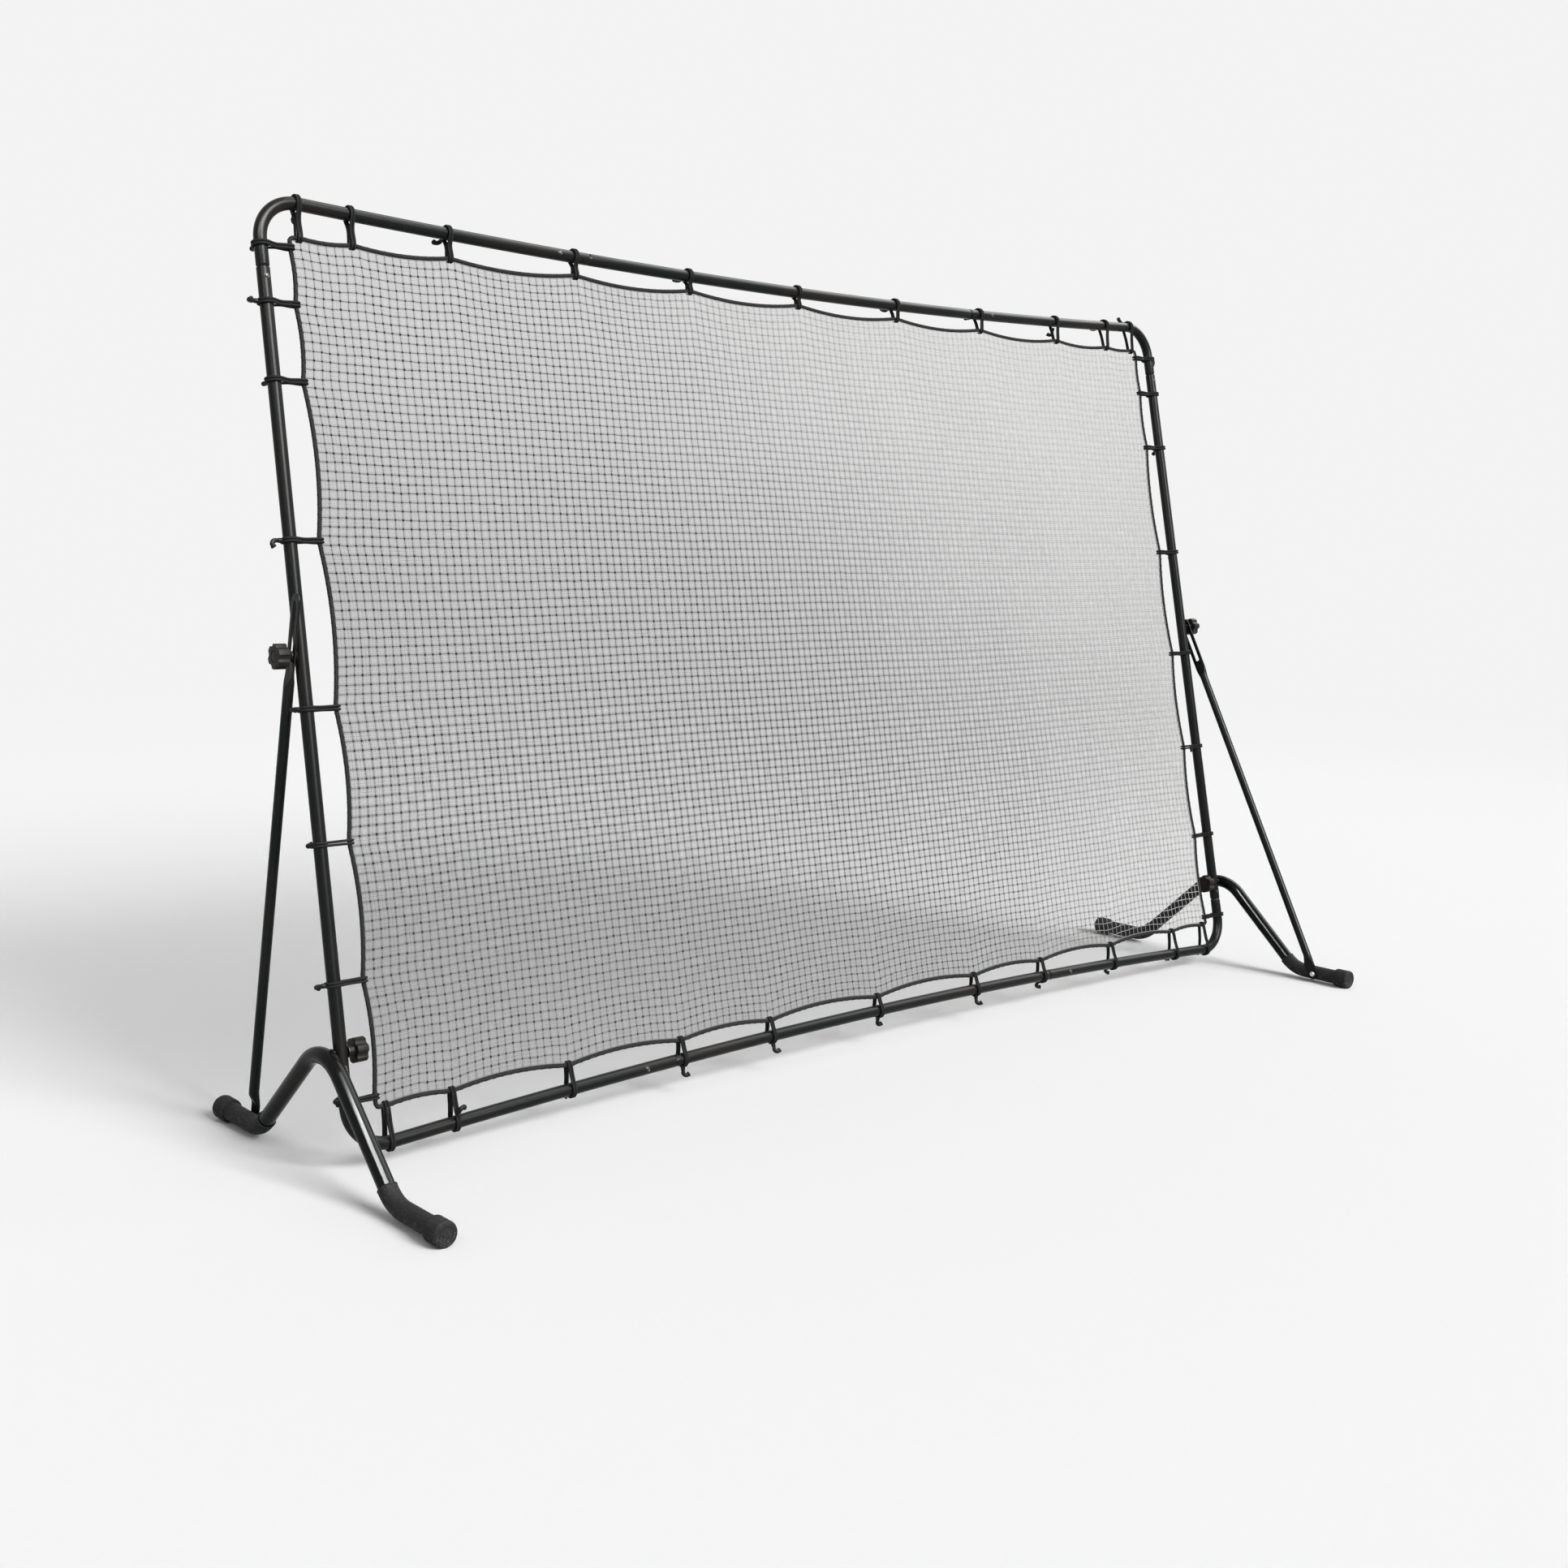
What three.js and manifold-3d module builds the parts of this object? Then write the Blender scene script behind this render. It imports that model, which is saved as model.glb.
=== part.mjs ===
// Tennis rebound net: a tube frame that leans between two low stands, with a net laced into it.
// Millimetres, +Z up. The origin is on the floor, midway between the stands, under the two bolts
// that the frame tilts on. +X runs along the net and the frame leans back towards +Y.
import * as THREE from 'three';
import { mergeGeometries, mergeVertices } from 'three/addons/utils/BufferGeometryUtils.js';
import Module from 'manifold-3d';

const wasm = await Module();
wasm.setup();

const seatGap = 0.3; // left between two pieces that touch
const overrun = 2; // how far a cutting shape runs past what it cuts

// Frame
const frameWidth = 3000; // between the centre lines of the posts
const frameHeight = 1950; // between the centre lines of the top and bottom tubes
const frameTube = 28;
const frameWall = 1.2;
const cornerRadius = 86; // of the centre line
const cornerReach = 830; // from a post's centre line along the corner tube's long leg to its seam
const cornerDrop = 150; // from the long leg's centre line along the short leg to its seam
const tubeBow = 44; // how far the net draws each long tube in at its middle
const longSpigot = 120; // of a middle tube, inside the corner tube
const shortSpigot = 36; // of a corner tube, inside the post
const spigotClearance = 0.5; // on the radius
const swageLength = 6; // neck between a tube's full diameter and its spigot
const restLean = 11.5; // degrees back from upright, as photographed
const leanLimit = 13; // degrees that the slots let the frame lean, forwards or back
const lowerBoltAlong = 200; // up the post from the bottom tube's centre line
const upperBoltAlong = 1000;

// Bolts and star knobs
const boltDiameter = 8;
const boltClearance = 0.3; // on the radius
const bossDiameter = 20; // welded nut that a knob's bolt screws into
const bossLength = 5.7;
const upperBoltBite = 10; // how far the upper bolt reaches inside the post's outer face
const lowerBoltBite = 12; // how far the lower bolt reaches past the boss into the stand
const knobDiameter = 52;
const knobThickness = 24;
const knobEdge = 4; // rounding at the head's rim
const lobeDepth = 4.5;
const lobeCount = 6;
const neckDiameter = 21;
const neckLength = 12;

// Stands
const standTube = 35;
const standWall = 1.5;
const legSlope = 43; // degrees from the floor
const footHalf = 277; // from the middle of a stand to where the lines of leg and foot cross
const footReach = 458; // from the middle of a stand to the end of its foot
const footHeight = 25; // of the foot's centre line over the floor
const apexRadius = 100;
const footBendRadius = 90;
const tubeEndShort = 8; // the steel ends this far inside the end of its foot cap

// Rubber foot sleeves
const sleeveWall = 2.2;
const sleeveUpLeg = 22; // from where the lines of leg and foot cross, up the leg
const capDiameter = 52;
const capLength = 44;
const capEdge = 6;

// Struts
const strutTube = 22;
const strutWall = 1.2;
const strutFlat = 4; // thickness where the tube is pressed flat
const pivotShare = 0.533; // of the way from where leg and foot cross to the foot cap
const pivotDiameter = 8;
const pivotHead = 15;
const pivotHeadLength = 4;
const slotWidth = 13;
const slotEndGap = 1; // between the bolt and the slot's end at each limit of the tilt
const slotMargin = 14; // from the slot's end to the strut's end
const flatPastSlot = 22; // pressed flat for this far below the slot
const flatPastPivot = 26;
const pressLength = 36; // from flat to round
const pressedShare = 0.55; // how round the tube is halfway along that
const endShares = [0.45, 0.8, 0.9]; // of the flat's width, at a strut's rounded ends and short of them

// Net, border rope and elastic ties
const ropeDiameter = 9;
const sideOpening = 47; // between a post and the rope
const middleOpening = 16; // between the rope and a long tube, where the net has drawn the tube in most
const ropeCorner = 10;
const endTieGap = 2; // from the bend at the rope's corner to where the end tie seats
const scallopShare = 0.04; // how far the rope sags between two ties, as a share of their spacing
const tieWidth = 11; // two strands side by side
const tieThickness = 3.6;
const tieSlack = 0.7; // between a tie and its tube, which slopes a little under it
const tieStep = 36; // degrees for each ring of a tie round its tube
const ropeStep = 55;
const tieSeat = 14; // the rope lies straight for this length under a tie
const hookReach = 20; // past a tie on a post
const bottomHookReach = 15;
const topHookReach = 9;
const hookThickness = 4.5;
const hookWidth = 6;
const hookCurl = 9;
const strand = 3;
const netThickness = 2.4;
const selvedge = 5;
const notchSlope = 3; // along the rope, where the net steps back round a tie
const meshColumns = 15;
const meshRows = 9;

// Places of the ties: from the middle tie of a long side to its end tie, and up a post from its
// lowest tie to its highest
const topTieShares = [0, 0.258, 0.502, 0.743, 0.913, 1];
const bottomTieShares = [0, 0.26, 0.456, 0.68, 0.89, 1];
const leftTieShares = [0, 0.135, 0.295, 0.452, 0.649, 0.838, 0.931, 1];
const rightTieShares = [0, 0.143, 0.3, 0.467, 0.649, 0.838, 0.936, 1];

const tubeSides = 12;
const boreSides = 8;
const bendStep = 15; // degrees of bend for each ring of a bent tube

const radians = THREE.MathUtils.degToRad;
const lean = radians(restLean);
const halfWidth = frameWidth / 2;
const boltSpan = upperBoltAlong - lowerBoltAlong;
const slopeAngle = radians(legSlope);
const strutFoot = THREE.MathUtils.lerp(footHalf, footReach - capLength, pivotShare);
const apexRise = apexRadius * (1 / Math.cos(slopeAngle) - 1);
const boltHeight = footHeight + footHalf * Math.tan(slopeAngle) - apexRise;
const standOffset = frameTube / 2 + seatGap + bossLength + standTube / 2;
const strutInset = frameTube / 2 + bossLength + seatGap + strutFlat / 2; // from a post to a strut
const ropeRadius = ropeDiameter / 2;
const sideInset = frameTube / 2 + sideOpening + ropeRadius; // from a post's centre line to the rope's
const longInset = tubeBow + frameTube / 2 + middleOpening + ropeRadius; // from a long side's ends
const endTieInset = ropeCorner + endTieGap + notchSlope + tieSeat / 2; // from the rope's corner
const sleeveRadius = standTube / 2 + seatGap + sleeveWall;
const strutFlatWidth = Math.PI * (strutTube - strutWall) / 2; // pressing a tube flat keeps its girth
const pivotSeat = sleeveRadius + seatGap; // from a stand's middle plane to the strut's foot

const paint = { color: 0x14161a, roughness: 0.28, metalness: 0.35 };
const finishes = {
  frame: paint,
  stand: { ...paint, color: 0x101216 },
  strut: { ...paint, color: 0x17191d, roughness: 0.34 },
  sleeve: { color: 0x1b1b1c, roughness: 0.8, metalness: 0 },
  knob: { color: 0x202021, roughness: 0.5, metalness: 0 },
  tie: { color: 0x1d1c1c, roughness: 0.75, metalness: 0 },
  rope: { color: 0x262628, roughness: 0.85, metalness: 0 },
  netting: { color: 0x2b2c2e, roughness: 0.8, metalness: 0 },
};

function signedVolume(points, faces) {
  let volume = 0;
  for (let i = 0; i < faces.length; i += 3) {
    const [a, b, c] = [points[faces[i]], points[faces[i + 1]], points[faces[i + 2]]];
    volume += a.dot(b.clone().cross(c));
  }
  return volume;
}

// Joins rings of points into one closed surface. Open ends are closed from a point in their middle.
function skin(rings, closed = false) {
  const count = rings[0].length;
  const points = rings.flat();
  const faces = [];
  const bands = closed ? rings.length : rings.length - 1;
  for (let i = 0; i < bands; i += 1) {
    const from = i * count;
    const to = ((i + 1) % rings.length) * count;
    for (let j = 0; j < count; j += 1) {
      const next = (j + 1) % count;
      faces.push(from + j, from + next, to + next, from + j, to + next, to + j);
    }
  }
  if (!closed) {
    const ends = [[0, false], [(rings.length - 1) * count, true]];
    for (const [first, forward] of ends) {
      const middle = points.length;
      const ring = points.slice(first, first + count);
      points.push(ring.reduce((sum, p) => sum.add(p), new THREE.Vector3()).divideScalar(count));
      for (let j = 0; j < count; j += 1) {
        const next = (j + 1) % count;
        faces.push(middle, first + (forward ? j : next), first + (forward ? next : j));
      }
    }
  }
  if (signedVolume(points, faces) < 0) {
    faces.reverse();
  }
  const geometry = new THREE.BufferGeometry().setFromPoints(points);
  geometry.setIndex(faces);
  return geometry;
}

function solidOf(geometry) {
  const bare = geometry.clone();
  bare.deleteAttribute('normal');
  bare.deleteAttribute('uv');
  const merged = mergeVertices(bare, seatGap / 1000);
  return new wasm.Manifold(new wasm.Mesh({
    numProp: 3,
    vertProperties: Float32Array.from(merged.attributes.position.array),
    triVerts: Uint32Array.from(merged.index.array),
  }));
}

// The base with every shape of "joined" added, and then every shape of "cuts" taken away
function shaped(base, joined, cuts) {
  let solid = solidOf(base);
  for (const shape of joined) {
    solid = solid.add(solidOf(shape));
  }
  for (const shape of cuts) {
    solid = solid.subtract(solidOf(shape));
  }
  const mesh = solid.getMesh();
  const geometry = new THREE.BufferGeometry();
  geometry.setAttribute('position', new THREE.BufferAttribute(mesh.vertProperties, mesh.numProp));
  geometry.setIndex(new THREE.BufferAttribute(mesh.triVerts, 1));
  return geometry;
}

// A round bar along X between two places
function crossBar(diameter, from, to, sides = tubeSides) {
  const bar = new THREE.CylinderGeometry(diameter / 2, diameter / 2, to - from, sides);
  return bar.rotateZ(Math.PI / 2).translate((from + to) / 2, 0, 0);
}

// A cutting bar whose flats, not its corners, lie at the given diameter
function crossHole(diameter, from, to) {
  return crossBar(diameter / Math.cos(Math.PI / boreSides), from, to, boreSides);
}

// Stations along a bent line in one plane: each corner { at, radius } becomes an arc of short steps
function route(corners) {
  const stations = [];
  corners.forEach((corner, i) => {
    const before = corners[i - 1];
    const after = corners[i + 1];
    if (!before || !after || !corner.radius) {
      const inward = before ? corner.at.clone().sub(before.at).normalize() : new THREE.Vector2();
      const outward = after ? after.at.clone().sub(corner.at).normalize() : new THREE.Vector2();
      stations.push({ at: corner.at, heading: inward.add(outward).normalize(), size: corner.size });
      return;
    }
    const arriving = corner.at.clone().sub(before.at).normalize();
    const leaving = after.at.clone().sub(corner.at).normalize();
    const turn = Math.atan2(arriving.cross(leaving), arriving.dot(leaving));
    const setback = corner.radius * Math.tan(Math.abs(turn) / 2);
    const start = corner.at.clone().addScaledVector(arriving, -setback);
    const side = new THREE.Vector2(-arriving.y, arriving.x).multiplyScalar(Math.sign(turn));
    const centre = start.clone().addScaledVector(side, corner.radius);
    const steps = Math.max(2, Math.round(Math.abs(turn) / radians(bendStep)));
    for (let k = 0; k <= steps; k += 1) {
      const angle = turn * k / steps;
      stations.push({
        at: start.clone().rotateAround(centre, angle),
        heading: arriving.clone().rotateAround(new THREE.Vector2(), angle),
        size: corner.size,
      });
    }
  });
  return stations;
}

// A round section swept through stations. "place" puts a point of the plane, and a lift off it,
// in space, and a station's size takes the place of the common diameter.
function sweep(stations, diameter, place, sides, closed = false) {
  const rings = stations.map(({ at, heading, size }) => {
    const radius = (size ?? diameter) / 2;
    const across = new THREE.Vector2(-heading.y, heading.x);
    return Array.from({ length: sides }, (_, k) => {
      const angle = 2 * Math.PI * (k + 0.5) / sides;
      const point = at.clone().addScaledVector(across, radius * Math.cos(angle));
      return place(point, radius * Math.sin(angle));
    });
  });
  return skin(rings, closed);
}

// The same stations with both ends carried on, for cutting a bore right through
function carriedOn(stations, change) {
  const longer = stations.map((s) => ({ ...s, size: s.size && s.size + change }));
  const first = longer[0];
  const last = longer[longer.length - 1];
  longer[0] = { ...first, at: first.at.clone().addScaledVector(first.heading, -overrun) };
  longer[longer.length - 1] = { ...last, at: last.at.clone().addScaledVector(last.heading, overrun) };
  return longer;
}

// A point of the frame's plane, measured from the bottom tube's ends, in the frame's own group,
// whose origin is on the lower bolts' axis
const inFrame = (point, lift) => new THREE.Vector3(point.x, -lift, point.y - lowerBoltAlong);
const inStand = (point, lift) => new THREE.Vector3(lift, point.x, point.y);

// The bowed tubes are straight between these places, counted from the middle of the long side
const seamPlace = halfWidth - cornerReach;
const spigotPlace = seamPlace + longSpigot;
const legStep = (halfWidth - cornerRadius - spigotPlace) / 3;
const bowPlaces = [
  0, seamPlace / 2, seamPlace, spigotPlace, spigotPlace + legStep, spigotPlace + 2 * legStep, halfWidth,
];

// How far in the net has drawn the tube at a place along it
function drawIn(along) {
  const out = Math.abs(along);
  const next = Math.max(1, bowPlaces.findIndex((place) => place >= out));
  const [from, to] = [bowPlaces[next - 1], bowPlaces[next]];
  const [low, high] = [from, to].map((place) => tubeBow * (1 - (place / halfWidth) ** 2));
  return THREE.MathUtils.mapLinear(out, from, to, low, high);
}

function hollowTube(stations, diameter, wall, place, sides = tubeSides) {
  const outside = sweep(stations, diameter, place, tubeSides);
  const bore = sweep(carriedOn(stations, -2 * wall), diameter - 2 * wall, place, sides);
  return shaped(outside, [], [bore]);
}

const spigotSize = frameTube - 2 * frameWall - 2 * spigotClearance;

// The bottom left corner tube: a long leg that follows the bow, a bend and a short leg with a spigot
function cornerTube() {
  const onLeg = (along) => ({ at: new THREE.Vector2(-along, drawIn(along)) });
  const onPost = (up, size) => ({ at: new THREE.Vector2(-halfWidth, up), size });
  const stations = route([
    ...bowPlaces.slice(2, -1).map(onLeg), { ...onLeg(halfWidth), radius: cornerRadius },
    onPost(cornerDrop - swageLength, frameTube), onPost(cornerDrop - seatGap, spigotSize),
    onPost(cornerDrop + shortSpigot, spigotSize),
  ]);
  const sized = stations.map((s) => ({ ...s, size: s.size ?? frameTube }));
  return hollowTube(sized, frameTube, frameWall, inFrame);
}

// The bottom middle tube, with a spigot at each end
function middleTube() {
  const places = [
    [seamPlace / 2, frameTube], [seamPlace - swageLength, frameTube],
    [seamPlace - seatGap, spigotSize], [spigotPlace, spigotSize],
  ];
  const opposite = places.map(([along, size]) => [-along, size]).reverse();
  const corners = [...opposite, [0, frameTube], ...places].map(([along, size]) => (
    { at: new THREE.Vector2(along, drawIn(along)), size }));
  return hollowTube(route(corners), frameTube, frameWall, inFrame, boreSides);
}

// The left post, about its own axis. Its outer side faces -X.
function post() {
  const ends = [cornerDrop, frameHeight - cornerDrop];
  const stations = route(ends.map((up) => ({ at: new THREE.Vector2(0, up) })));
  const tube = sweep(stations, frameTube, inFrame, tubeSides);
  const bore = sweep(carriedOn(stations, 0), frameTube - 2 * frameWall, inFrame, tubeSides);
  const hole = boltDiameter + 2 * boltClearance;
  const boss = crossBar(bossDiameter, -frameTube / 2 - bossLength, -frameTube / 2 + frameWall);
  const lowerHole = crossHole(hole, -frameTube, frameTube);
  const upperHole = crossHole(hole, -frameTube / 2 - bossLength - overrun, 0);
  const raised = (shape) => shape.translate(0, 0, boltSpan);
  return shaped(tube, [raised(boss)], [bore, lowerHole, raised(upperHole)]);
}

// Points round a star knob's head, at a share of its size
function starRing(x, share) {
  const points = [];
  const count = lobeCount * 4;
  for (let k = 0; k < count; k += 1) {
    const angle = 2 * Math.PI * k / count;
    const dip = lobeDepth * (1 - Math.cos(lobeCount * angle)) / 2;
    const radius = (knobDiameter / 2 - dip) * share;
    points.push(new THREE.Vector3(x, radius * Math.cos(angle), radius * Math.sin(angle)));
  }
  return points;
}

// A star knob that faces +X. Its seat is at x = 0 and its bolt reaches back from there.
function starKnob(boltLength) {
  const rimShare = 1 - knobEdge / knobDiameter;
  const faceShare = 1 - 3 * knobEdge / knobDiameter;
  const head = skin([
    starRing(neckLength, faceShare), starRing(neckLength + knobEdge, 1),
    starRing(neckLength + knobThickness - knobEdge, 1),
    starRing(neckLength + knobThickness - knobEdge / 4, rimShare * faceShare),
    starRing(neckLength + knobThickness, faceShare * faceShare),
  ]);
  const neck = crossBar(neckDiameter, 0, neckLength + knobEdge);
  const bolt = crossBar(boltDiameter, -boltLength, neckLength, boreSides);
  return shaped(head, [neck, bolt], []);
}

// The bent line of a stand's tube, from one foot's end over the apex to the other's
function standLine(reach) {
  const peak = footHeight + footHalf * Math.tan(slopeAngle);
  const bend = (across, up, radius) => ({ at: new THREE.Vector2(across, up), radius });
  return route([
    bend(-reach, footHeight), bend(-footHalf, footHeight, footBendRadius), bend(0, peak, apexRadius),
    bend(footHalf, footHeight, footBendRadius), bend(reach, footHeight),
  ]);
}

// A stand as it is on the left, about its own middle: the post is on its +X side and the strut's
// pivot is welded to its rear foot
function stand() {
  const stations = standLine(footReach - tubeEndShort);
  const tube = sweep(stations, standTube, inStand, tubeSides);
  const bore = sweep(carriedOn(stations, 0), standTube - 2 * standWall, inStand, boreSides);
  const face = standTube / 2;
  const boss = crossBar(bossDiameter, 0, face + bossLength).translate(0, 0, boltHeight);
  const headFrom = pivotSeat + strutFlat + seatGap;
  const shank = crossBar(pivotDiameter, 0, headFrom + seatGap, boreSides);
  const head = crossBar(pivotHead, headFrom, headFrom + pivotHeadLength);
  const atPivot = (shape) => shape.translate(0, strutFoot, footHeight);
  const hole = crossHole(boltDiameter + 2 * boltClearance, face - lowerBoltBite - seatGap,
    face + bossLength + overrun);
  return shaped(tube, [boss, atPivot(shank), atPivot(head)], [bore, hole.translate(0, 0, boltHeight)]);
}

// The sleeve of a rear foot: it covers the bend, and its cap stands on the floor on a flat sole
function footSleeve(roundPivot) {
  const peak = new THREE.Vector2(0, footHeight + footHalf * Math.tan(slopeAngle));
  const crossing = new THREE.Vector2(footHalf, footHeight);
  const upLeg = sleeveUpLeg + footBendRadius * Math.tan(slopeAngle / 2) / 2;
  const topEnd = crossing.clone().addScaledVector(peak.sub(crossing).normalize(), upLeg);
  const line = route([
    { at: topEnd }, { at: crossing, radius: footBendRadius },
    { at: new THREE.Vector2(footReach - capEdge, footHeight) },
  ]);
  const outside = sweep(line, 2 * sleeveRadius, inStand, tubeSides);
  const steel = line.map((s) => ({ ...s }));
  steel[0].at = steel[0].at.clone().addScaledVector(steel[0].heading, -overrun);
  steel[steel.length - 1].at = new THREE.Vector2(footReach - tubeEndShort + seatGap, footHeight);
  const bore = sweep(steel, standTube + 2 * seatGap, inStand, tubeSides);
  const capSizes = [[-capLength, capDiameter - capEdge], [-capLength + capEdge / 2, capDiameter],
    [-capEdge, capDiameter], [-capEdge / 4, capDiameter - capEdge], [0, capDiameter - 3 * capEdge]];
  const cap = sweep(capSizes.map(([back, size]) => ({
    at: new THREE.Vector2(footReach + back, footHeight), heading: new THREE.Vector2(1, 0), size,
  })), capDiameter, inStand, tubeSides);
  const under = new THREE.BoxGeometry(2 * capDiameter, 2 * footReach, capDiameter);
  const cuts = [bore, under.translate(0, footReach, -capDiameter / 2)];
  if (roundPivot) {
    const window = crossHole(pivotDiameter + 2 * seatGap, 0, sleeveRadius + overrun);
    cuts.push(window.translate(0, strutFoot, footHeight));
  }
  return shaped(outside, [cap], cuts);
}

// From a strut's pivot to the upper bolt, seen along X, when the frame leans by "angle" towards
// the strut's foot
function pivotToBolt(angle) {
  const up = boltHeight - footHeight + boltSpan * Math.cos(angle);
  return new THREE.Vector2(boltSpan * Math.sin(angle) - strutFoot, up);
}

const slotLow = pivotToBolt(radians(leanLimit)).length();
const slotHigh = pivotToBolt(radians(-leanLimit)).length();

// A ring of a strut: "round" runs from 0, pressed flat, to 1, and "shift" moves the flat sideways
function strutRing(up, round, shift, narrowing, skinDepth) {
  const lerp = THREE.MathUtils.lerp;
  const radius = strutTube / 2 - skinDepth;
  const half = lerp(Math.max(strutFlat / 2 - skinDepth, seatGap), radius, round);
  const width = lerp(strutFlatWidth / 2 - skinDepth, radius, round) * narrowing;
  return Array.from({ length: tubeSides }, (_, k) => {
    const angle = 2 * Math.PI * k / tubeSides;
    const x = THREE.MathUtils.clamp(radius * Math.cos(angle), -half, half);
    return new THREE.Vector3(shift * (1 - round) + x, width * Math.sin(angle), up);
  });
}

// A strut standing upright on its pivot: pressed flat against the sleeve at the foot, and flat and
// slotted at the top
function strut() {
  const footShift = pivotSeat + strutFlat / 2 - (standOffset - strutInset);
  const end = strutFlatWidth / 2;
  const top = slotHigh + boltDiameter / 2 + slotEndGap + slotMargin;
  const flatFrom = slotLow - boltDiameter / 2 - slotEndGap - flatPastSlot;
  const rings = (depth) => [
    strutRing(flatPastPivot, 0, footShift, 1, depth),
    strutRing(flatPastPivot + pressLength / 2, pressedShare, footShift, 1, depth),
    strutRing(flatPastPivot + pressLength, 1, footShift, 1, depth),
    strutRing(flatFrom - pressLength, 1, 0, 1, depth),
    strutRing(flatFrom - pressLength / 2, pressedShare, 0, 1, depth),
    strutRing(flatFrom, 0, 0, 1, depth),
  ];
  const [atEnd, nearEnd, short] = endShares;
  const outside = skin([
    strutRing(-end, 0, footShift, atEnd, 0), strutRing(-end / 2, 0, footShift, short, 0),
    strutRing(0, 0, footShift, 1, 0), ...rings(0), strutRing(top - end, 0, 0, 1, 0),
    strutRing(top - end / 3, 0, 0, nearEnd, 0), strutRing(top, 0, 0, atEnd, 0),
  ]);
  const inside = skin([...rings(strutWall), strutRing(slotLow, 0, 0, 1, strutWall)]);
  const slot = new THREE.Shape();
  const radius = slotWidth / 2;
  slot.absarc(0, slotLow - boltDiameter / 2 - slotEndGap + radius, radius, Math.PI, 2 * Math.PI);
  slot.absarc(0, slotHigh + boltDiameter / 2 + slotEndGap - radius, radius, 0, Math.PI);
  const options = { depth: strutTube, bevelEnabled: false, curveSegments: 4 };
  const slotCut = new THREE.ExtrudeGeometry(slot, options);
  slotCut.rotateX(Math.PI / 2).rotateZ(Math.PI / 2).translate(-strutTube / 2, 0, 0);
  const pivotHole = crossHole(pivotDiameter + 2 * seatGap, 0, strutTube);
  return shaped(outside, [], [inside, slotCut, pivotHole]);
}

// The four sides that the rope follows. "ties" are distances along the side from its middle or
// its foot, and "at" puts a distance along the side and an inset in the frame's plane.
const mirrored = (shares) => [...shares.slice(1).reverse().map((share) => -share), ...shares];
const longTies = (shares) => mirrored(shares).map((share) => share * (halfWidth - sideInset - endTieInset));
const sideTies = (shares) => shares.map((share) => (
  THREE.MathUtils.lerp(longInset + endTieInset, frameHeight - longInset - endTieInset, share)));
const downwards = (ties) => ties.map((up) => frameHeight - up).reverse();
const sides = [
  {
    name: 'bottom', inset: longInset, ties: longTies(bottomTieShares), hook: bottomHookReach,
    at: (along, inset) => new THREE.Vector2(along, inset),
  },
  {
    name: 'right', inset: sideInset, ties: sideTies(rightTieShares), hook: hookReach,
    at: (along, inset) => new THREE.Vector2(halfWidth - inset, along),
  },
  {
    name: 'top', inset: longInset, ties: longTies(topTieShares), hook: topHookReach,
    at: (along, inset) => new THREE.Vector2(-along, frameHeight - inset),
  },
  {
    name: 'left', inset: sideInset, ties: downwards(sideTies(leftTieShares)), hook: hookReach,
    at: (along, inset) => new THREE.Vector2(-halfWidth + inset, frameHeight - along),
  },
];

// How far the rope hangs in between two ties at a place along its side
function scallop(ties, along) {
  for (let i = 0; i + 1 < ties.length; i += 1) {
    const from = ties[i] + tieSeat / 2;
    const to = ties[i + 1] - tieSeat / 2;
    if (along > from && along < to) {
      const share = (along - from) / (to - from);
      return 4 * share * (1 - share) * scallopShare * (to - from);
    }
  }
  return 0;
}

// Places along a side where the rope bends: at both ends of each tie's seat, and between
function placesAlong(ties, beside) {
  const places = [];
  ties.forEach((tie, i) => {
    const seat = tieSeat / 2;
    const outer = beside ? [tie - seat - beside, tie + seat + beside] : [];
    places.push(...outer.slice(0, 1), tie - seat, tie + seat, ...outer.slice(1));
    if (i + 1 < ties.length) {
      const length = ties[i + 1] - tie;
      places.push(tie + length / 3, tie + length * 2 / 3);
    }
  });
  return places;
}

// A closed line inside the frame, "inward" from the rope's centre line, and deeper under the ties
function borderLine(inward, deeper = 0) {
  const points = [];
  sides.forEach(({ inset, ties, at }, i) => {
    for (const along of placesAlong(ties, deeper && notchSlope)) {
      const underTie = deeper && ties.some((tie) => Math.abs(tie - along) < tieSeat / 2 + notchSlope / 2);
      points.push(at(along, inset + scallop(ties, along) + inward + (underTie ? deeper : 0)));
    }
    const next = sides[(i + 1) % sides.length];
    const last = points[points.length - 1];
    const corner = at(0, inset + inward);
    const beyond = next.at(0, next.inset + inward);
    const level = i % 2 === 0; // the bottom and top sides
    const sharp = new THREE.Vector2(level ? beyond.x : corner.x, level ? corner.y : beyond.y);
    const arriving = sharp.clone().sub(last).normalize();
    const leaving = new THREE.Vector2(-arriving.y, arriving.x);
    const radius = Math.max(ropeCorner - inward, ropeRadius);
    const centre = sharp.clone().addScaledVector(arriving, -radius).addScaledVector(leaving, radius);
    for (const angle of [-Math.PI / 2, -Math.PI / 4, 0]) {
      const spoke = new THREE.Vector2(Math.cos(angle), Math.sin(angle)).multiplyScalar(radius);
      points.push(centre.clone().addScaledVector(arriving, spoke.x).addScaledVector(leaving, spoke.y));
    }
  });
  return points;
}

function borderRope() {
  const points = borderLine(0);
  const count = points.length;
  const stations = points.map((at, i) => ({
    at, heading: points[(i + 1) % count].clone().sub(points[(i + count - 1) % count]).normalize(),
  }));
  return sweep(stations, ropeDiameter, inFrame, 6, true);
}

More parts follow.
